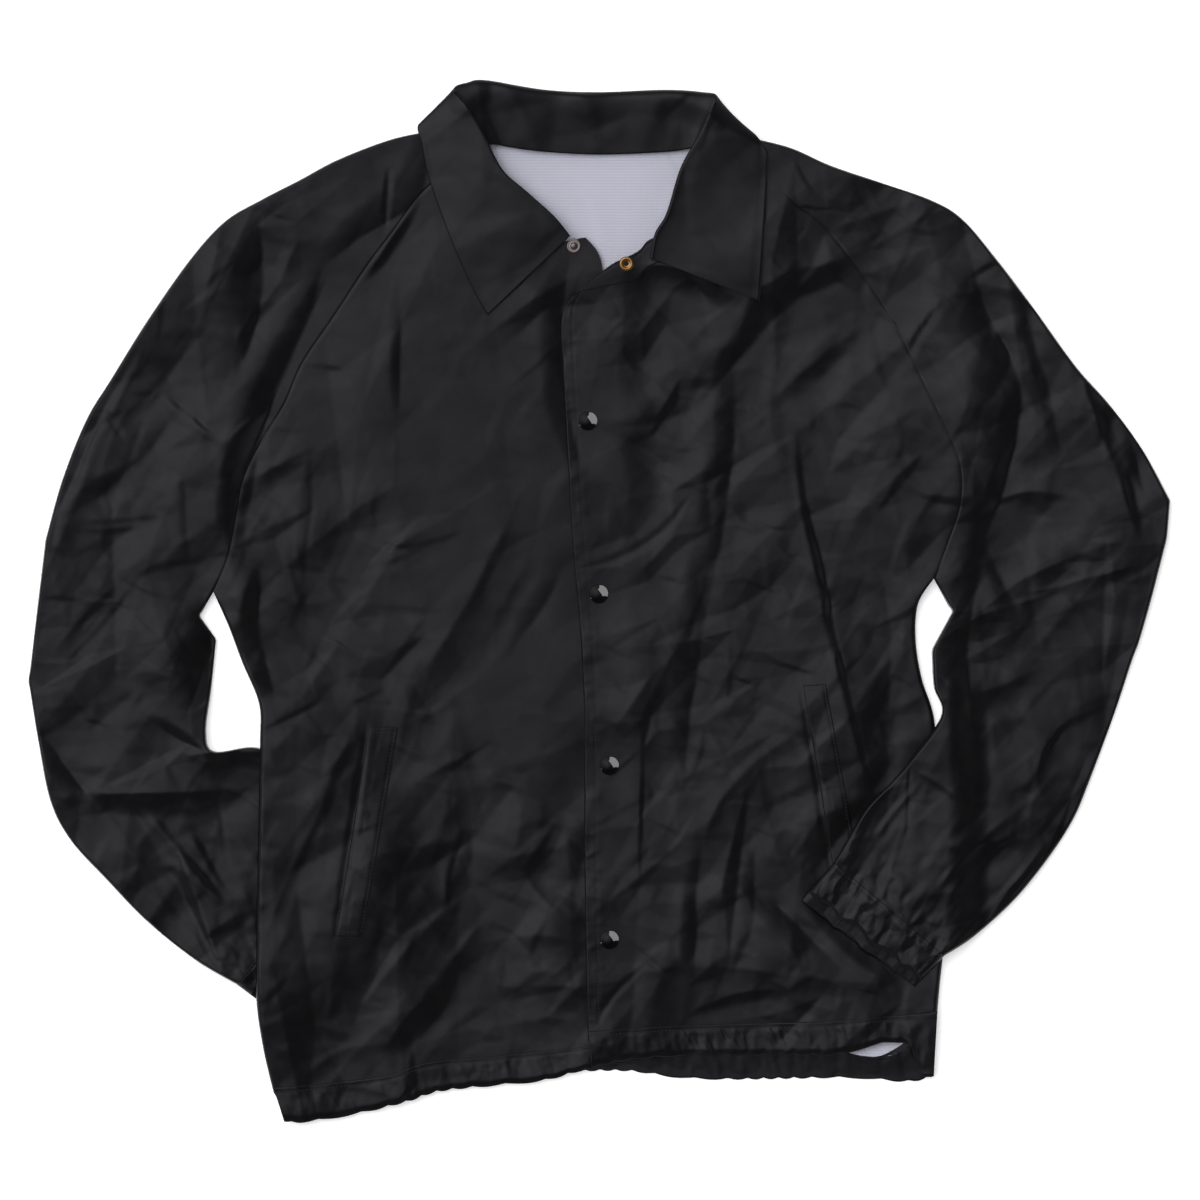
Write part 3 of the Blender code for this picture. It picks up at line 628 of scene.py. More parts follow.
def calm(places, fade):
    """0 inside the listed places and 1 away from them."""
    amount = np.ones(GROUND_X.shape)
    for x0, y0, x1, y1, radius in places:
        _, off_x, off_y = to_segment(GROUND_X, GROUND_Y, (x0, y0), (x1, y1))
        amount *= ease((np.hypot(off_x, off_y) - radius) / fade)
    return amount


def sample(field, x, y):
    """The map's height at places x, y."""
    fx = np.clip((x - XS[0]) / STEP, 0, len(XS) - 1.001)
    fy = np.clip((y - YS[0]) / STEP, 0, len(YS) - 1.001)
    i, j = fx.astype(int), fy.astype(int)
    fx, fy = fx - i, fy - j
    lower = mix(field[j, i], field[j, i + 1], fx)
    upper = mix(field[j + 1, i], field[j + 1, i + 1], fx)
    return mix(lower, upper, fy)


# Way over which the cloth is level, margin of the map in grid steps, and the way to the light.
LEVEL_WAY = 300.0
MARGIN = 120
LIGHT_WAY = (-0.8, 0.6)


def settled(fall, level_way):
    """The heights whose slopes come nearest to the listed falls, level over a long way."""
    fall_x, fall_y = (np.fft.fft2(np.pad(part, MARGIN)) for part in fall)
    rows, columns = fall_x.shape
    turn_x = 2j * math.pi * np.fft.fftfreq(columns, STEP)[None, :]
    turn_y = 2j * math.pi * np.fft.fftfreq(rows, STEP)[:, None]
    level = (2 * math.pi / level_way) ** 2
    heights = (turn_x * fall_x + turn_y * fall_y) / (level - turn_x**2 - turn_y**2)
    return np.real(np.fft.ifft2(heights))[MARGIN:-MARGIN, MARGIN:-MARGIN]


def shaded(slope, points):
    """The slope of a strip, signed so that it faces away from the light, and steeper where
    the strip runs along the light."""
    run = points[-1] - points[0]
    facing = (run[1] * LIGHT_WAY[0] - run[0] * LIGHT_WAY[1]) / np.hypot(run[0], run[1])
    return -slope * math.copysign(0.8, facing) / max(abs(facing), 0.4)


# Crumple, with a seed first in each row. Facets: pitch, tilt, way and stretch. Flat patches:
# pitch, way and stretch. Thrown creases: count, length, breadth and slope.
FACETS = [(3, 58, 0.045, 1.15, 1.7), (5, 24, 0.055, 0.2, 1.5), (6, 12, 0.042, 2.2, 1.4)]
CRUSH_TILT = 0.03
CRUSH_PATCHES = [(76, 60, 1.05, 2.2), (77, 24, 1.5, 1.8)]
CREASES = [(12, 160, 210, 40, 0.10), (13, 700, 70, 7, 0.20)]

# Unevenness of the listed folds and how they sway: mm, pitch, seed for x and seed for y.
UNEVEN = 0.6
UNEVEN_PATCHES = (75, 24, 1.1, 2.2)
SWAYS = [(8, 60, 71, 73), (3, 20, 72, 74)]

BAND_STRENGTH = 1.15
FOLD_STRENGTH = 1.0

# The cloth over its flat lay, its soft lower limit, what is left at a snap, and how a stiff
# collar leaf lies on it.
RAISED = 2.0
LOWEST = -2.4
LIMIT_BEND = 1.6
NEAR_SNAP = 0.5
NEAR_SNAP_BLUR = 20
LEAF_REACH = 10
LEAF_BLUR = 12

rough = mix(LEAST_CRUMPLE, 1.0, calm(SMOOTH_PLACES, SMOOTH_FADE))
loose = calm(SNAP_CALM, SNAP_FADE)
crumple = sum(facets(*row) for row in FACETS)
uneven = 1 + UNEVEN * patches(*UNEVEN_PATCHES, 1)
crushed = sum(CRUSH_TILT * patches(*row, 2) for row in CRUSH_PATCHES)
for crease_row in CREASES:
    add_creases(crushed, *crease_row)
sway_x = sum(way * waves(seed, pitch) for way, pitch, seed, _ in SWAYS)
sway_y = sum(way * waves(seed, pitch) for way, pitch, _, seed in SWAYS)


def height_map(bands, folds, troughs, quiet):
    """How far the cloth stands above its flat lay, in mm."""
    fall = np.zeros((2, *GROUND_X.shape))
    for rows, strength in [(bands, BAND_STRENGTH), (folds, FOLD_STRENGTH)]:
        for steep, slope, pixels in rows:
            points = from_photo(pixels)
            add_slope(fall, steep / PIXELS_PER_MM, shaded(strength * slope, points), points)
    field = settled(fall * uneven + crushed * rough, LEVEL_WAY)
    for half, depth, points in troughs:
        add_trough(field, half / PIXELS_PER_MM, depth, from_photo(points))
    field = sample(field, GROUND_X + sway_x, GROUND_Y + sway_y) + crumple * rough
    field = mix(NEAR_SNAP * (field - blur(field, NEAR_SNAP_BLUR)), field + RAISED, loose)
    field = LOWEST + np.logaddexp(0, LIMIT_BEND * (field - LOWEST)) / LIMIT_BEND
    return field * quiet


body_map = height_map(
    UPPER_BANDS + BODY_BANDS, UPPER_FOLDS + BODY_FOLDS, UPPER_TROUGHS + BODY_TROUGHS,
    calm(BODY_CALM, CALM_FADE),
)
sleeve_map = height_map(
    UPPER_BANDS + ARM_BANDS, UPPER_FOLDS + ARM_FOLDS, UPPER_TROUGHS + ARM_TROUGHS,
    calm(ARM_CALM, CALM_FADE),
)
leaf_map = blur(spread(body_map, LEAF_REACH), LEAF_BLUR)

# Fine wrinkles of gathered cloth, soft folds of the stand, and the lining's seams.
RUFFLE_TILT = 0.32
RUFFLE_PITCH = 4.6
RUFFLE_STRETCH = 2.6
RUFFLE_WAY = 36.0
STAND_CREST = 2.0
LINING_SEAM_HALF = 3
LINING_SEAM_DEPTH = 0.9
LINING_HIGHEST = 2.0


def ruffle(seed, way):
    """Fine wrinkles along a direction, in mm."""
    fall = RUFFLE_TILT * patches(seed, RUFFLE_PITCH, way, RUFFLE_STRETCH, 2)
    return settled(fall, RUFFLE_WAY)


hem_ruffle = ruffle(81, 1.75)
cuff_left_ruffle = ruffle(82, 1.03)
cuff_right_ruffle = ruffle(83, 2.0)
stand_map = fold_map(STAND_FOLDS, STAND_CREST)
lining_map = fold_map(LINING_FOLDS)
for seam_points in LINING_SEAMS:
    add_trough(lining_map, LINING_SEAM_HALF, LINING_SEAM_DEPTH, from_photo(seam_points))
lining_map = np.clip(lining_map, -LINING_SEAM_DEPTH, LINING_HIGHEST)

# Where the left forearm starts to lie on the body: x and y, and the way over which it rises.
OVER_X, OVER_X_FADE = 325, 36
OVER_Y, OVER_Y_FADE = -34, 55

# The right front's edge below the placket: x at its upper and lower end, y of the upper end,
# length, and the ledge and fade of the step in the cloth above it.
UNDER_TOP_X, UNDER_LOW_X = 3, 28
UNDER_TOP_Y, UNDER_LENGTH = 282, 650
STEP_LEDGE, STEP_FADE = 6, 34


def lift(x, y):
    """How far the body is raised by the right forearm tucked below it."""
    inside = np.ones(x.shape, bool)
    away = np.full(x.shape, FAR)
    for start, end in zip(LIFT_GROUND, LIFT_GROUND[1:] + LIFT_GROUND[:1]):
        (x0, y0), (x1, y1) = start, end
        inside &= (x1 - x0) * (y - y0) - (y1 - y0) * (x - x0) <= 0
        _, off_x, off_y = to_segment(x, y, start, end)
        away = np.minimum(away, np.hypot(off_x, off_y))
    return FOREARM_LIFT * np.where(inside, 1.0, 1 - ease(away / LIFT_FADE))


def over(x, y):
    """How far the left forearm is raised by the body that it lies on."""
    return FOREARM_OVER * ease((OVER_X - x) / OVER_X_FADE) * ease((OVER_Y - y) / OVER_Y_FADE)


def flat_floor(x, y):
    return np.zeros(x.shape)


def body_top(x, y):
    return FLAT_TOP + sample(body_map, x, y) + lift(x, y)


def placket_step(x, y):
    """How far the left front is raised by the right front's edge below it."""
    edge = mix(UNDER_TOP_X, UNDER_LOW_X, np.clip((UNDER_TOP_Y - y) / UNDER_LENGTH, 0, 1))
    return PLACKET_STEP * (1 - ease((x - edge - STEP_LEDGE) / STEP_FADE))


def left_front_top(x, y):
    return body_top(x, y) + placket_step(x, y)


def seam_top(x, y):
    """The height that a front and a sleeve share at their seam."""
    return FLAT_TOP + 0.5 * (sample(body_map, x, y) + sample(sleeve_map, x, y))


# Where the CAD model lies in the frame, against these tables.
cap_low, cap_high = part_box("snap_cap_1")
SHIFT = Vector((cap_low + cap_high) / 2 / MM) - Vector((*SNAP_CAPS[0], 0))


def add_object(name, data):
    obj = bpy.data.objects.new(name, data)
    bpy.context.scene.collection.objects.link(obj)
    return obj


def quads(index):
    """The faces between the points of a grid."""
    corners = [index[:-1, :-1], index[1:, :-1], index[1:, 1:], index[:-1, 1:]]
    return np.stack([corner.ravel() for corner in corners], 1)


def add_mesh(name, points, faces, material, replaced=()):
    """A smooth piece that rides on the jacket: points in mm."""
    placed = (np.asarray(points, float) + (SHIFT.x, SHIFT.y, 0)) * MM
    mesh = bpy.data.meshes.new(name)
    mesh.from_pydata(placed.tolist(), [], faces)
    mesh.polygons.foreach_set("use_smooth", [True] * len(mesh.polygons))
    mesh.materials.append(material)
    obj = add_object(name, mesh)
    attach(obj, "root")
    if replaced:
        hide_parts(*replaced)
    return obj


# Materials.
def feed(tree, node, inputs):
    """Sets a node's inputs, each to a value or to another node's output."""
    for socket, value in inputs.items():
        if isinstance(value, bpy.types.NodeSocket):
            tree.links.new(value, node.inputs[socket])
        else:
            node.inputs[socket].default_value = value


def add_node(tree, kind, output, inputs, **settings):
    """An output of a new shader node."""
    node = tree.nodes.new("ShaderNode" + kind)
    for name, value in settings.items():
        setattr(node, name, value)
    feed(tree, node, inputs)
    return node.outputs[output]


def new_material(name, colour, roughness, specular, metallic=0.0):
    material = bpy.data.materials.new(name)
    material.use_nodes = True
    tree = material.node_tree
    shader = tree.nodes["Principled BSDF"]
    feed(tree, shader, {
        "Base Color": (*colour, 1), "Roughness": roughness,
        "Specular IOR Level": specular, "Metallic": metallic,
    })
    return material, tree, shader


def object_place(tree):
    return add_node(tree, "TexCoord", "Object", {})


def noise(tree, where, scale, detail, rough=0.5):
    inputs = {"Vector": where, "Scale": scale, "Detail": detail, "Roughness": rough}
    return add_node(tree, "TexNoise", "Fac", inputs)


def wave(tree, where, pitch, direction):
    """Bands of that pitch in mm."""
    inputs = {"Vector": where, "Scale": 2 * math.pi / (20 * pitch * MM)}
    return add_node(tree, "TexWave", "Fac", inputs, bands_direction=direction)


def work_out(tree, operation, *values):
    return add_node(tree, "Math", "Value", dict(enumerate(values)), operation=operation)


def ramp(tree, value, low, high, start=0.3, end=0.7):
    node = tree.nodes.new("ShaderNodeValToRGB")
    for stop, at, colour in zip(node.color_ramp.elements, (start, end), (low, high)):
        stop.position, stop.color = at, (*colour, 1)
    tree.links.new(value, node.inputs["Fac"])
    return node.outputs["Color"]


def bump(tree, height, strength, distance, before=None):
    inputs = {"Strength": strength, "Distance": distance * MM, "Height": height}
    if before:
        inputs["Normal"] = before
    return add_node(tree, "Bump", "Normal", inputs)


def make_nylon():
    material, tree, shader = new_material("nylon", (0.004, 0.004, 0.0044), 0.26, 0.131)
    where = object_place(tree)
    shade = noise(tree, where, 45, 4)
    gloss = noise(tree, where, 130, 3)
    weave = work_out(tree, "ADD", *(wave(tree, where, 0.7, axis) for axis in "XY"))
    creases = bump(tree, noise(tree, where, 110, 4, 0.55), 0.15, 0.35)
    feed(tree, shader, {
        "Specular Tint": (0.9, 0.9, 1.0, 1),
        "Base Color": ramp(tree, shade, (0.0032, 0.0032, 0.0036), (0.0052, 0.0051, 0.0056)),
        "Roughness": ramp(tree, gloss, (0.23,) * 3, (0.3,) * 3),
        "Normal": bump(tree, weave, 0.12, 0.04, creases),
    })
    return material


def make_lining():
    material, tree, shader = new_material("lining", (0.49, 0.49, 0.575), 0.85, 0.2)
    where = object_place(tree)
    courses = wave(tree, where, 2.4, "Y")
    knit = work_out(tree, "MULTIPLY", courses, wave(tree, where, 1.5, "X"))
    feed(tree, shader, {
        "Base Color": ramp(tree, courses, (0.43, 0.43, 0.51), (0.505, 0.505, 0.595), 0.0, 0.5),
        "Normal": bump(tree, knit, 0.6, 0.25),
        "Sheen Weight": 0.15,
    })
    return material


def make_hard(name, colour, roughness, metallic=1.0, specular=0.5):
    """Metal, enamel or thread, a little uneven."""
    material, tree, shader = new_material(name, colour, roughness, specular, metallic)
    where = object_place(tree)
    smooth_side, rough_side = (roughness * 0.75,) * 3, (roughness * 1.3,) * 3
    feed(tree, shader, {
        "Roughness": ramp(tree, noise(tree, where, 700, 4), smooth_side, rough_side),
        "Normal": bump(tree, noise(tree, where, 450, 2), 0.05, 0.1),
    })
    return material


NYLON = make_nylon()
LINING = make_lining()
THREAD = make_hard("thread", (0.006, 0.006, 0.007), 0.5, 0.0, 0.3)
ENAMEL = make_hard("snap_enamel", (0.0003, 0.0003, 0.0004), 0.06, 0.0, 0.08)
NICKEL = make_hard("nickel", (0.10, 0.088, 0.085), 0.14)
BRASS = make_hard("brass", (0.18, 0.10, 0.04), 0.14)

# Sheets, in mm.
SEAM_GROOVE = 0.3
SEAM_HALF = 1.1
EDGE_ROLL = 2.6
SEAM_BLEND = 26.0
WELD = 0.02


def add_sheet(
    name, node, points, wall=0.0, flipped=False, weld=False, material=NYLON
):
    """A piece of cloth from a grid of points: rows, columns, x y z in mm."""
    rows, columns = points.shape[:2]
    index = np.arange(rows * columns).reshape(rows, columns)
    faces = quads(index)[:, :: -1 if flipped else 1].tolist()
    obj = add_mesh(name, points.reshape(-1, 3), faces, material, [node])
    if weld:
        shape = bmesh.new()
        shape.from_mesh(obj.data)
        bmesh.ops.remove_doubles(shape, verts=shape.verts, dist=WELD * MM)
        shape.to_mesh(obj.data)
        shape.free()
    if wall:
        solid = obj.modifiers.new("wall", "SOLIDIFY")
        solid.thickness = wall * MM
        solid.offset = -1
    return obj


def line(points):
    """A smooth line whose fractions go by its length."""
    fine = np.linspace(0, 1, 40 * len(points))
    steps = np.linalg.norm(np.diff(smooth(points, fine), axis=0), axis=1)
    passed = np.concatenate([[0], np.cumsum(steps)])
    return lambda t: smooth(points, np.interp(t, passed / passed[-1], fine))


def two_part(first, second):
    """An edge made of two smooth lines, half of the rows for each."""

    def at(v):
        upper, lower = smooth(first, 2 * v), smooth(second, 2 * v - 1)
        return np.where((v <= 0.5)[:, None], upper, lower)

    return at


def patch(left, right, top, bottom, columns, rows):
    """Points between four edges, how far each is from the left and right edges, and the
    fraction down."""
    u, v = np.linspace(0, 1, columns), np.linspace(0, 1, rows)
    across, down = u[None, :, None], v[:, None, None]

    def bow(edge):
        p = edge(u)[None]
        return p - mix(p[:, :1], p[:, -1:], across)

    starts, ends = left(v)[:, None], right(v)[:, None]
    points = mix(starts, ends, across) + bow(top) * (1 - down) + bow(bottom) * down
    from_left, from_right = (np.linalg.norm(points - edge, axis=2) for edge in (starts, ends))
    return points, from_left, from_right, v[:, None]


def rolled(top, low, away, radius):
    """The height of cloth that rolls down to its edge over a radius."""
    bend = np.sqrt(np.clip(1 - (1 - np.clip(away / radius, 0, 1)) ** 2, 0, 1))
    return low + (top - low) * bend


def stack(points, z):
    return np.concatenate([points, z[..., None]], 2)


def groove(away):
    return SEAM_GROOVE * np.exp(-((away / SEAM_HALF) ** 2))


def puckers(along, across, seed, pitch, rise, lean=0.0, swing=0.35):
    """Uneven short wrinkles that cross a seam: along and across are in mm."""
    random = np.random.default_rng(seed)
    field = np.zeros(np.broadcast(along, across).shape)
    deep = float(np.max(across))
    place = float(np.min(along)) - deep
    while place < float(np.max(along)) + deep:
        place += pitch * random.uniform(0.45, 1.5)
        half = pitch * random.uniform(0.25, 0.6)
        height = rise * random.uniform(0.3, 1.0)
        reach = deep * random.uniform(0.45, 1.3)
        start = deep * random.choice([0.0, 0.0, 0.35])
        off = along - place - (lean + random.normal(0, swing)) * (across - start)
        t = (across - start) / reach
        swell = ease(t / 0.15) * np.clip(1.15 - t, 0, 1)
        field += height * swell * np.clip(1 - np.abs(off) / half, 0, 1)
    return field


stitch_paths = []


def stitch(path):
    """Notes a line of stitches along a path of points on a sheet."""
    stitch_paths.append(path)


# Back, lining and placket, in mm. CRUMPLE and FADE are shares.
BACK_TOP = 0.7
BACK_CRUMPLE = 0.35
BACK_CRUMPLE_MOST = 0.6
BACK_UNDER_SLEEVE = 5.0
UNDER_SLEEVE_FADE = 0.04
LINING_INSET = 9.0
PLACKET_STITCH = 10.0
PLACKET_PUCKERS = 16
PLACKET_TURN = 9
PLACKET_DROP = 1.0

right_side = two_part(RAGLAN_RIGHT, SIDE_RIGHT)
left_side = two_part(RAGLAN_LEFT, SIDE_LEFT)
back_side = two_part(RAGLAN_LEFT, BACK_SIDE_LEFT)


def make_back():
    def reach(v):
        return np.outer(ease((0.5 - v) / UNDER_SLEEVE_FADE), (BACK_UNDER_SLEEVE, 0))

    points, _, _, _ = patch(
        lambda v: right_side(v) - reach(v), lambda v: back_side(v) + reach(v),
        line(NECK_BACK), line(SEAM_BACK), columns=110, rows=160,
    )
    x, y = xy(points)
    bumps = BACK_CRUMPLE * sample(crumple, -x, y)
    z = BACK_TOP + lift(x, y) + np.clip(bumps, -BACK_CRUMPLE_MOST, BACK_CRUMPLE_MOST)
    back = add_sheet("back_shell", "back", stack(points, z))
    points, _, _, _ = patch(
        lambda v: right_side(v) + (LINING_INSET, 0), lambda v: back_side(v) - (LINING_INSET, 0),
        line(NECK_BACK), line(SEAM_BACK), columns=130, rows=170,
    )
    x, y = xy(points)
    z = LINING_TOP + lift(x, y) + sample(lining_map, x, y)
    lining = add_sheet(
        "lining_shell", "back_lining", stack(points, z), material=LINING
    )


def front_height(top, points, away, v, low):
    """A front's height: it joins the sleeve above the armpit and rolls over below it."""
    joined = mix(seam_top(*xy(points)), top, ease(away / SEAM_BLEND)) - groove(away)
    return mix(joined, rolled(top, low, away, EDGE_ROLL), ease((v - 0.5) / 0.1))


def turned_under(points, inward, drop):
    """The grid with its first column folded under by some columns."""
    first = points[:, :1]
    way = points[:, 6:7] - first
    way = way / np.linalg.norm(way[..., :2], axis=2, keepdims=True)
    under = [
        first + way * inward * f - (0, 0, drop * min(1, 4 * f)) for f in (1, 0.6, 0.25, 0.06)
    ]
    return np.concatenate(under + [points], 1)


def make_fronts():
    points, away, _, v = patch(
        right_side, line(UNDER_EDGE), line(NECK_FRONT_RIGHT), line(SEAM_FRONT_RIGHT),
        columns=184, rows=440,
    )
    x, y = xy(points)
    z = front_height(body_top(x, y), points, away, v, EDGE_TOP + lift(x, y))
    right = add_sheet("front_right_shell", "front_right", stack(points, z))
    points, inner, away, v = patch(
        line(OVER_EDGE), left_side, line(NECK_FRONT_LEFT), line(SEAM_FRONT_LEFT),
        columns=184, rows=430,
    )
    x, y = xy(points)
    z = front_height(left_front_top(x, y), points, away, v, EDGE_TOP)
    pucker = puckers(-y, np.minimum(inner, PLACKET_PUCKERS), seed=25, pitch=13, rise=0.45)
    z += pucker * ease((PLACKET_PUCKERS + 2 - inner) / 6)
    z -= 0.35 * groove(inner - PLACKET_STITCH)
    points = stack(points, z)
    column = int(np.argmin(np.abs(inner[200] - PLACKET_STITCH)))
    stitch(points[14:, column])
    turned = turned_under(points, PLACKET_TURN, PLACKET_DROP)
    left = add_sheet("front_left_shell", "front_left", turned)


# Hems, in mm.
HEM_OVERLAP = 4.0
HEM_SCALLOP = 1.6
HEM_DEEP = 24
HEM_RISE = 0.7
HEM_BACK_FALL = 2.0
HEM_BACK_LOWEST = 1.1
HEM_WRINKLES = (-1.2, 1.6)


def make_hems():
    for name, seam, low, top, seed, flat in [
        ("hem_front_right", SEAM_FRONT_RIGHT, LOW_FRONT_RIGHT, body_top, 21, (0.31, 0.026)),
        ("hem_front_left", SEAM_FRONT_LEFT, LOW_FRONT_LEFT, left_front_top, 22, (0.30, 0.026)),
        ("hem_back", SEAM_BACK, LOW_BACK, None, None, (0.56, 0.024)),
    ]:
        upper = np.array(seam, float) + (0, HEM_OVERLAP if top else 0)
        points, _, _, v = patch(
            line([upper[0], low[0]]), line([upper[-1], low[-1]]), line(upper), line(low),
            columns=300, rows=22,
        )
        x, y = xy(points)
        y -= HEM_SCALLOP * v**3 * np.abs(np.sin(x / 6 + 2 * np.sin(x / 23)))
        wrinkle = np.clip(sample(hem_ruffle, x, y), *HEM_WRINKLES)
        if top is None:
            z = HEM_BACK_TOP + 0.6 - HEM_BACK_FALL * v + lift(x, y) + 0.4 * wrinkle
            z = np.maximum(z, HEM_BACK_LOWEST)
        else:
            deep = HEM_DEEP * v + 0 * x
            pucker = mix(0.35, 0.6, ease((x + 20) / 60)) * wrinkle
            pucker = pucker + puckers(x, deep, seed, pitch=13, rise=0.35, lean=0.25)
            if name == "hem_front_left":
                tight = puckers(x, deep, seed=27, pitch=6, rise=0.55, lean=0.5, swing=0.12)
                pucker += tight * ease((x - 50) / 20) * ease((190 - x) / 20)
            pucker *= ease((v - 0.1) / 0.2)
            z = top(x, y) + HEM_RISE + pucker - 0.6 * groove(v * (HEM_DEEP + 2) - 4)
            z -= 1.2 * ease((v - 0.8) / 0.2)
            stitch(stack(points, z)[3])
        piece = add_sheet(name + "_shell", name, stack(points, z), wall=1.0)


# Sleeves and cuffs, in mm. SHARE is of the rows, and MOUTH is where a cuff's casing ends.
RAGLAN_SHARE = 0.45
ARM_LENGTH = 480
CUFF_GATHERED = 70
CUFF_RUFFLED = 34
UNDERSIDE = 0.6
CUFF_RAGGED = 1.5
CUFF_MOUTH = 0.72
CUFF_DROP = 2.6
CUFF_EDGE = EDGE_TOP - 1.2


def upper_layer(columns):
    """Fractions across the upper layer of a flattened tube, closer together at its folds."""
    s = np.linspace(0, 1, columns)
    return mix(s, 0.5 - 0.5 * np.cos(math.pi * s), 0.6)[None, :, None]


def lower_layer(columns):
    """Fractions back across the lower layer, without the fold that it starts from."""
    s = np.linspace(0, 1, columns)[1:]
    return (0.5 + 0.5 * np.cos(math.pi * s))[None, :, None]


def make_sleeve(name, raglan, shoulder, arm, ground, flipped, seed, wrinkles):
    """A sleeve folded along its outer side, open at the raglan and closed below the armpit."""
    rows = np.linspace(0, 1, 520)
    upper, lower = rows / RAGLAN_SHARE, (rows - RAGLAN_SHARE) / (1 - RAGLAN_SHARE)
    above = (rows <= RAGLAN_SHARE)[:, None]
    inner = np.where(above, smooth(raglan, upper), smooth([r[2:] for r in arm], lower))[:, None]
    outer = np.where(above, smooth(shoulder, upper), smooth([r[:2] for r in arm], lower))[:, None]
    breadth = np.linalg.norm(outer - inner, axis=2)
    shut = ease((rows - RAGLAN_SHARE + 0.03) / 0.1)[:, None]
    to_cuff = (1 - rows[:, None]) * ARM_LENGTH

    across = upper_layer(104)
    points = mix(inner, outer, across)
    x, y = xy(points)
    from_inner, from_outer = across[..., 0] * breadth, (1 - across[..., 0]) * breadth
    own = FLAT_TOP + sample(sleeve_map, x, y)
    near_cuff = np.minimum(to_cuff, CUFF_GATHERED) + 0 * from_inner
    pucker = puckers(from_inner, near_cuff, seed, pitch=15, rise=1.1, swing=0.25)
    own += pucker * ease((CUFF_GATHERED - near_cuff) / 20)
    own += sample(wrinkles, x, y) * ease((CUFF_RUFFLED - near_cuff) / 30)
    joined = mix(seam_top(x, y), own, ease(from_inner / SEAM_BLEND)) - groove(from_inner)
    top = mix(joined, rolled(own, EDGE_TOP, from_inner, EDGE_ROLL), shut)
    top = rolled(top, EDGE_TOP, from_outer, EDGE_ROLL)
    top_points = stack(points, top + ground(x, y))

    across = lower_layer(24)
    points = mix(inner, outer, across)
    from_inner, from_outer = across[..., 0] * breadth, (1 - across[..., 0]) * breadth
    z = UNDERSIDE + (EDGE_TOP - UNDERSIDE) * np.clip(1 - from_outer / 10, 0, 1) ** 2
    z += shut * (EDGE_TOP - UNDERSIDE) * np.clip(1 - from_inner / 8, 0, 1) ** 2
    points = np.concatenate([top_points, stack(points, z + ground(*xy(points)))], 1)
    piece = add_sheet(name + "_shell", name, points, flipped=flipped, weld=True)


def make_cuff(name, ends, ground, flipped, seed, wrinkles):
    """A gathered casing, flattened to two layers, the lower one longer at the open end."""
    v = np.linspace(0, 1, 44)[:, None]
    ends = mix(np.array(ends[0], float), np.array(ends[1], float), v)
    outer, inner = ends[:, None, :2], ends[:, None, 2:]
    axis = ends[-1] - ends[0]
    axis = (axis[:2] + axis[2:]) / np.linalg.norm(axis[:2] + axis[2:])
    knots = np.random.default_rng(seed).uniform(-1, 1, 18)
    breadth = np.linalg.norm(outer - inner, axis=2)

    across = upper_layer(180)
    ragged = np.interp(across[0, :, 0], np.linspace(0, 1, len(knots)), knots)[None, :]
    points = mix(inner, outer, across) + (CUFF_RAGGED * ragged * v)[..., None] * axis
    x, y = xy(points)
    edge = np.minimum(across[..., 0], 1 - across[..., 0]) * breadth
    own = FLAT_TOP + mix(1.0, 0.5, ease(v / 0.5)) * sample(sleeve_map, x, y)
    mouth = ease((v - CUFF_MOUTH - 0.03 * ragged) / 0.06)
    drop = mouth * (CUFF_DROP + 1.6 * (v - CUFF_MOUTH) / (1 - CUFF_MOUTH))
    pucker = sample(wrinkles, x, y) * ease(edge / 6) * mix(1.0, 0.4, mouth)
    top = own + pucker - groove(v * 30 - 2) - drop
    top = rolled(np.maximum(top, CUFF_EDGE), CUFF_EDGE, edge, 6)
    top_points = stack(points, top + ground(x, y))
    stitch(top_points[3, 6:-6])

    across = lower_layer(40)
    points = mix(inner, outer, across)
    edge = np.minimum(across[..., 0], 1 - across[..., 0]) * breadth
    z = UNDERSIDE + (EDGE_TOP - 1.8) * np.clip(1 - edge / 8, 0, 1) ** 2
    points = np.concatenate([top_points, stack(points, z + ground(*xy(points)))], 1)
    piece = add_sheet(name + "_shell", name, points, wall=0.8, flipped=flipped, weld=True)


# Collar: points of its grid, lengths in mm, and shares of the columns and the crumple.
COLLAR_COLUMNS = 270
COLLAR_ROWS = 64
COLLAR_STITCH = 5.0
COLLAR_GROOVE = 0.25
COLLAR_GROOVE_HALF = 1.3
COLLAR_WALL = 1.1
COLLAR_LOWEST = 1.3
LEAF_SHARE = 0.27
NECK_OVER_LINING = 3.0
COLLAR_CRUMPLE = 0.55


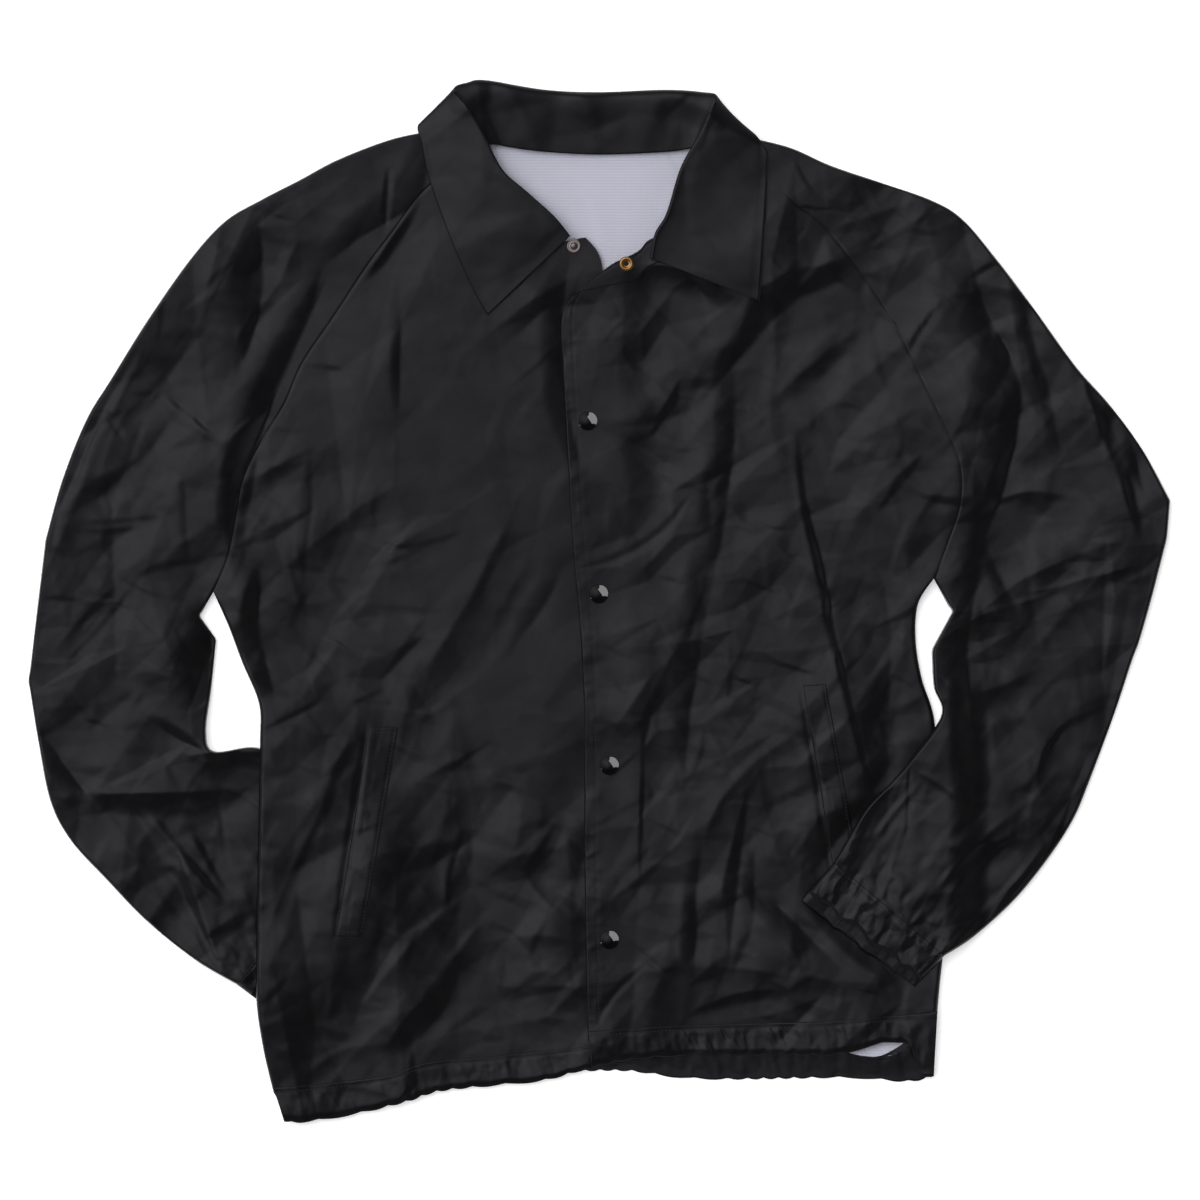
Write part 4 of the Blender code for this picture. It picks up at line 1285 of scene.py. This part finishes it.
def make_collar():
    row = smooth(COLLAR, np.linspace(0, 1, COLLAR_COLUMNS))
    neck, roll, edge = row[:, 0:2], row[:, 2:4], row[:, 4:6]
    under = np.clip(row[:, 6], 0, 1)[:, None]

    def unit(way):
        return way / np.linalg.norm(way, axis=1, keepdims=True)

    def rest(points):
        """The height of the jacket below, smoothed as a stiff leaf lies on it."""
        x, y = xy(points)
        step = np.where(x > 0, placket_step(x, y), 0)
        return (FLAT_TOP + sample(leaf_map, x, y) + step)[:, None]

    to_neck, to_edge = unit(neck - roll), unit(edge - roll)
    neck_z = mix(rest(neck) + COLLAR_REST, LINING_TOP + NECK_OVER_LINING, under)
    roll_z = mix(rest(roll) + COLLAR_ROLL, COLLAR_BACK_ROLL, under)
    edge_z = mix(rest(edge) + COLLAR_REST, COLLAR_LOWEST, under)
    half = mix(roll, edge, 0.55)
    stations = [
        (neck, neck_z),
        (mix(neck, roll, 0.5), mix(neck_z, roll_z, mix(0.6, 0.55, under))),
        (roll + to_neck * mix(1.0, 5.0, under), mix(roll_z - 1.0, roll_z, under)),
        (roll, mix(roll_z, COLLAR_BACK_ROLL / 2, under)),
        (roll + to_edge * mix(8, 5, under), mix(roll_z - 0.5, COLLAR_LOWEST + 0.4, under)),
        (half, mix(mix(rest(half) + COLLAR_REST, roll_z, 0.5), COLLAR_LOWEST, under)),
        (edge, edge_z),
    ]
    stations = np.array([np.concatenate(station, 1) for station in stations])
    points = smooth(stations, np.linspace(0, 1, COLLAR_ROWS))
    x, y = xy(points)
    z = points[..., 2]
    z += COLLAR_CRUMPLE * sample(crumple, x, y) * ease((z - 3) / 4)
    z += sample(stand_map, x, y) * ease((z - 4) / 3)
    from_edge = np.linalg.norm(points[..., :2] - edge[None], axis=2)
    off_stitch = (from_edge - COLLAR_STITCH) / COLLAR_GROOVE_HALF
    z -= COLLAR_GROOVE * np.exp(-(off_stitch**2)) * (1 - under[:, 0])
    points[..., 2] = np.maximum(z, COLLAR_LOWEST)
    nearest = np.argmin(np.abs(from_edge[30:] - COLLAR_STITCH), axis=0) + 30
    path = points[nearest, np.arange(COLLAR_COLUMNS)]
    leaf = int(LEAF_SHARE * COLLAR_COLUMNS)
    for part in (path[6:leaf], path[COLLAR_COLUMNS - leaf : -6]):
        stitch(part)
    ends = np.linspace(0, 1, COLLAR_COLUMNS)
    for side in (ends, 1 - ends):
        column = int(np.argmin(np.abs(side - 0.02)))
        stitch(points[30:-5, column])
    piece = add_sheet("collar_shell", "collar", points, wall=COLLAR_WALL)


# Facing and welts, in mm.
FACING_BROAD = 22
FACING_RISE = 1.7
WELT_BROAD = 24
WELT_RISE = 0.7
WELT_STITCH = 21


def make_trim():
    v = np.linspace(0, 1, 22)[:, None, None]
    row = smooth(FACING, np.linspace(0, 1, 48))
    points = mix(row[None, :, 2:], row[None, :, :2], v)
    z = left_front_top(*xy(points)) + FACING_RISE - 0.5 * groove(v[..., 0] * FACING_BROAD - 3)
    points = stack(points, z)
    stitch(points[3])
    piece = add_sheet("facing_shell", "facing_left", points, wall=0.9)
    for name, corners, top, seed in [
        ("welt_right", WELT_RIGHT, body_top, 41), ("welt_left", WELT_LEFT, left_front_top, 42),
    ]:
        ends = np.array(corners, float)
        rows = mix(ends[0], ends[1], np.linspace(0, 1, 120)[:, None])
        across = np.linspace(0, 1, 20)[None, :, None]
        points = mix(rows[:, None, :2], rows[:, None, 2:], across)
        x, y = xy(points)
        breadth = across[..., 0] * WELT_BROAD
        z = top(x, y) + WELT_RISE - 0.3 * groove(WELT_STITCH - breadth)
        z -= 0.35 * ease((breadth - 18) / 6)
        z += puckers(-y, breadth + 0 * y, seed, pitch=17, rise=0.4)
        points = stack(points, z)
        for path in (points[3:-3, 17], points[3, 2:-2], points[-4, 2:-2]):
            stitch(path)
        piece = add_sheet(name + "_shell", name, points, wall=0.6)


# Stitches, in mm, with the half ring of a thread, and the faces round a snap.
STITCH_PITCH = 3.2
STITCH_LENGTH = 2.4
STITCH_HALF = 0.28
STITCH_RING = [(1.0, 0.0), (0.5, 0.9), (-0.5, 0.9), (-1.0, 0.0)]
SNAP_SEGMENTS = 48


def make_stitches():
    """Every noted line of stitches, as small tapered threads lying on the cloth."""
    points, faces = [], []
    for path in stitch_paths:
        steps = np.linalg.norm(np.diff(path, axis=0), axis=1)
        passed = np.concatenate([[0], np.cumsum(steps)])
        for start in np.arange(0, passed[-1] - STITCH_LENGTH, STITCH_PITCH):
            places = start + STITCH_LENGTH * np.array([0, 0.2, 0.8, 1])
            middle = np.stack([np.interp(places, passed, path[:, k]) for k in range(3)], 1)
            way = middle[-1] - middle[0]
            side = np.array([-way[1], way[0], 0]) / max(np.hypot(way[0], way[1]), 1e-6)
            first = len(points)
            for centre, swell in zip(middle, (0.25, 1, 1, 0.25)):
                for a, b in STITCH_RING:
                    off = STITCH_HALF * swell * np.array([side[0] * a, side[1] * a, b + 0.2])
                    points.append(centre + off - (0, 0, 0.15 * (1 - swell)))
            for k in range(3):
                for j in range(3):
                    a = first + 4 * k + j
                    faces.append((a, a + 1, a + 5, a + 4))
    add_mesh("stitches", points, faces, THREAD)


def make_snap(name, profile, material):
    """A turned snap part, set on the place of its CAD node."""
    low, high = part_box(name)
    middle = (low + high) / 2 / MM
    x, y, z = middle.x - SHIFT.x, middle.y - SHIFT.y, low.z / MM
    turns = np.linspace(0, 2 * math.pi, SNAP_SEGMENTS, endpoint=False)
    points = [
        (x + r * math.cos(turn), y + r * math.sin(turn), z + h)
        for r, h in profile
        for turn in turns
    ]
    index = np.arange(len(points)).reshape(-1, SNAP_SEGMENTS)
    faces = quads(np.concatenate([index, index[:, :1]], 1)).tolist()
    return add_mesh(name + "_turned", points, faces, material, [name])


make_back()
make_fronts()
make_hems()
make_sleeve(
    "sleeve_right", RAGLAN_RIGHT, SHOULDER_RIGHT, ARM_RIGHT, flat_floor, True, 61,
    cuff_right_ruffle,
)
make_sleeve(
    "sleeve_left", NECK_TUCK + RAGLAN_LEFT[1:], NECK_TUCK_TOP + SHOULDER_LEFT[1:], ARM_LEFT,
    over, False, 62, cuff_left_ruffle,
)
make_cuff("cuff_right", CUFF_RIGHT, flat_floor, True, 51, cuff_right_ruffle)
make_cuff("cuff_left", CUFF_LEFT, over, False, 52, cuff_left_ruffle)
make_collar()
make_trim()
make_stitches()
snap_caps = [
    make_snap(f"snap_cap_{number}", CAP_PROFILE, ENAMEL) for number in range(1, 5)
]
make_snap("snap_stud", STUD_PROFILE, NICKEL)
make_snap("snap_socket", SOCKET_PROFILE, BRASS)

# Floor, in m.
FLOOR_HALF = 8.0
FLOOR_DROP = 0.0004
FLOOR_GLOW = 0.4

# The broad light overhead: the way to its middle, its spread as a slope and its radiance,
# the least radiance, and the walls' radiance and upper end.
LIGHT_MIDDLE = (-0.43, 0.33, 1.0)
LIGHT_SPREAD = 0.4
LIGHT_RADIANCE = 3.9
LIGHT_FILL = 0.11
WALL_TOP = 0.75
WALL_RADIANCE = 1.2

# Panels that only the snap caps mirror: name, place, width, height and radiance.
CAP_PANELS = [
    ("cap_softbox", (1.3, 0.9, 1.4), 2.8, 2.8, 32.0),
    ("cap_strip", (-2.6, -1.3, 1.8), 0.3, 0.9, 160.0),
]

CAMERA_HEIGHT = 10.0
CAMERA_SENSOR = 36
FRAME_WIDTH = 1.0


def make_floor():
    sides = [(-1, -1), (1, -1), (1, 1), (-1, 1)]
    mesh = bpy.data.meshes.new("floor")
    mesh.from_pydata(
        [(FLOOR_HALF * x, FLOOR_HALF * y, -FLOOR_DROP) for x, y in sides], [], [(0, 1, 2, 3)]
    )
    material, tree, shader = new_material("floor", (0.92, 0.92, 0.92), 0.9, 0.1)
    feed(tree, shader, {"Emission Color": (1, 1, 1, 1), "Emission Strength": FLOOR_GLOW})
    mesh.materials.append(material)
    floor = add_object("floor", mesh)


def make_world():
    """A studio with one broad soft light, up on the left, that fades out all round, and
    pale walls that show in the cloth from the sides only."""
    world = bpy.data.worlds.new("studio")
    world.use_nodes = True
    tree = world.node_tree
    way = add_node(tree, "TexCoord", "Generated", {})
    middle = Vector(LIGHT_MIDDLE).normalized()
    near = add_node(tree, "VectorMath", "Value", {0: way, 1: middle}, operation="DOT_PRODUCT")
    squared = work_out(tree, "POWER", work_out(tree, "MAXIMUM", near, 0.1), -2)
    slope = work_out(tree, "SUBTRACT", squared, 1)
    power = work_out(tree, "MULTIPLY", slope, -0.5 / LIGHT_SPREAD**2)
    glow = work_out(tree, "MULTIPLY", work_out(tree, "EXPONENT", power), LIGHT_RADIANCE)
    rise = add_node(tree, "SeparateXYZ", "Z", {"Vector": way})
    walls = add_node(tree, "MapRange", "Result", {
        "Value": rise, "From Max": WALL_TOP, "To Min": WALL_RADIANCE, "To Max": LIGHT_FILL,
    })
    bright = work_out(tree, "ADD", glow, walls)
    feed(tree, tree.nodes["Background"], {"Color": (1, 1, 1, 1), "Strength": bright})
    bpy.context.scene.world = world


def light_caps():
    caps = bpy.data.collections.new("caps")
    for cap in snap_caps:
        caps.objects.link(cap)
    for name, place, width, height, radiance in CAP_PANELS:
        light = bpy.data.lights.new(name, "AREA")
        light.shape = "RECTANGLE"
        light.size, light.size_y = width, height
        light.energy = radiance * math.pi * width * height
        panel = add_object(name, light)
        panel.location = place
        panel.rotation_euler = (-Vector(place)).to_track_quat("-Z", "Y").to_euler()
        panel.light_linking.receiver_collection = caps


def make_camera():
    camera = bpy.data.cameras.new("camera")
    camera.sensor_width = CAMERA_SENSOR
    camera.lens = CAMERA_SENSOR * CAMERA_HEIGHT / FRAME_WIDTH
    camera.clip_end = 5 * CAMERA_HEIGHT
    obj = add_object("camera", camera)
    obj.location = (SHIFT.x * MM, SHIFT.y * MM, CAMERA_HEIGHT)
    bpy.context.scene.camera = obj


make_floor()
make_world()
light_caps()
make_camera()
bpy.context.scene.view_settings.view_transform = "Standard"
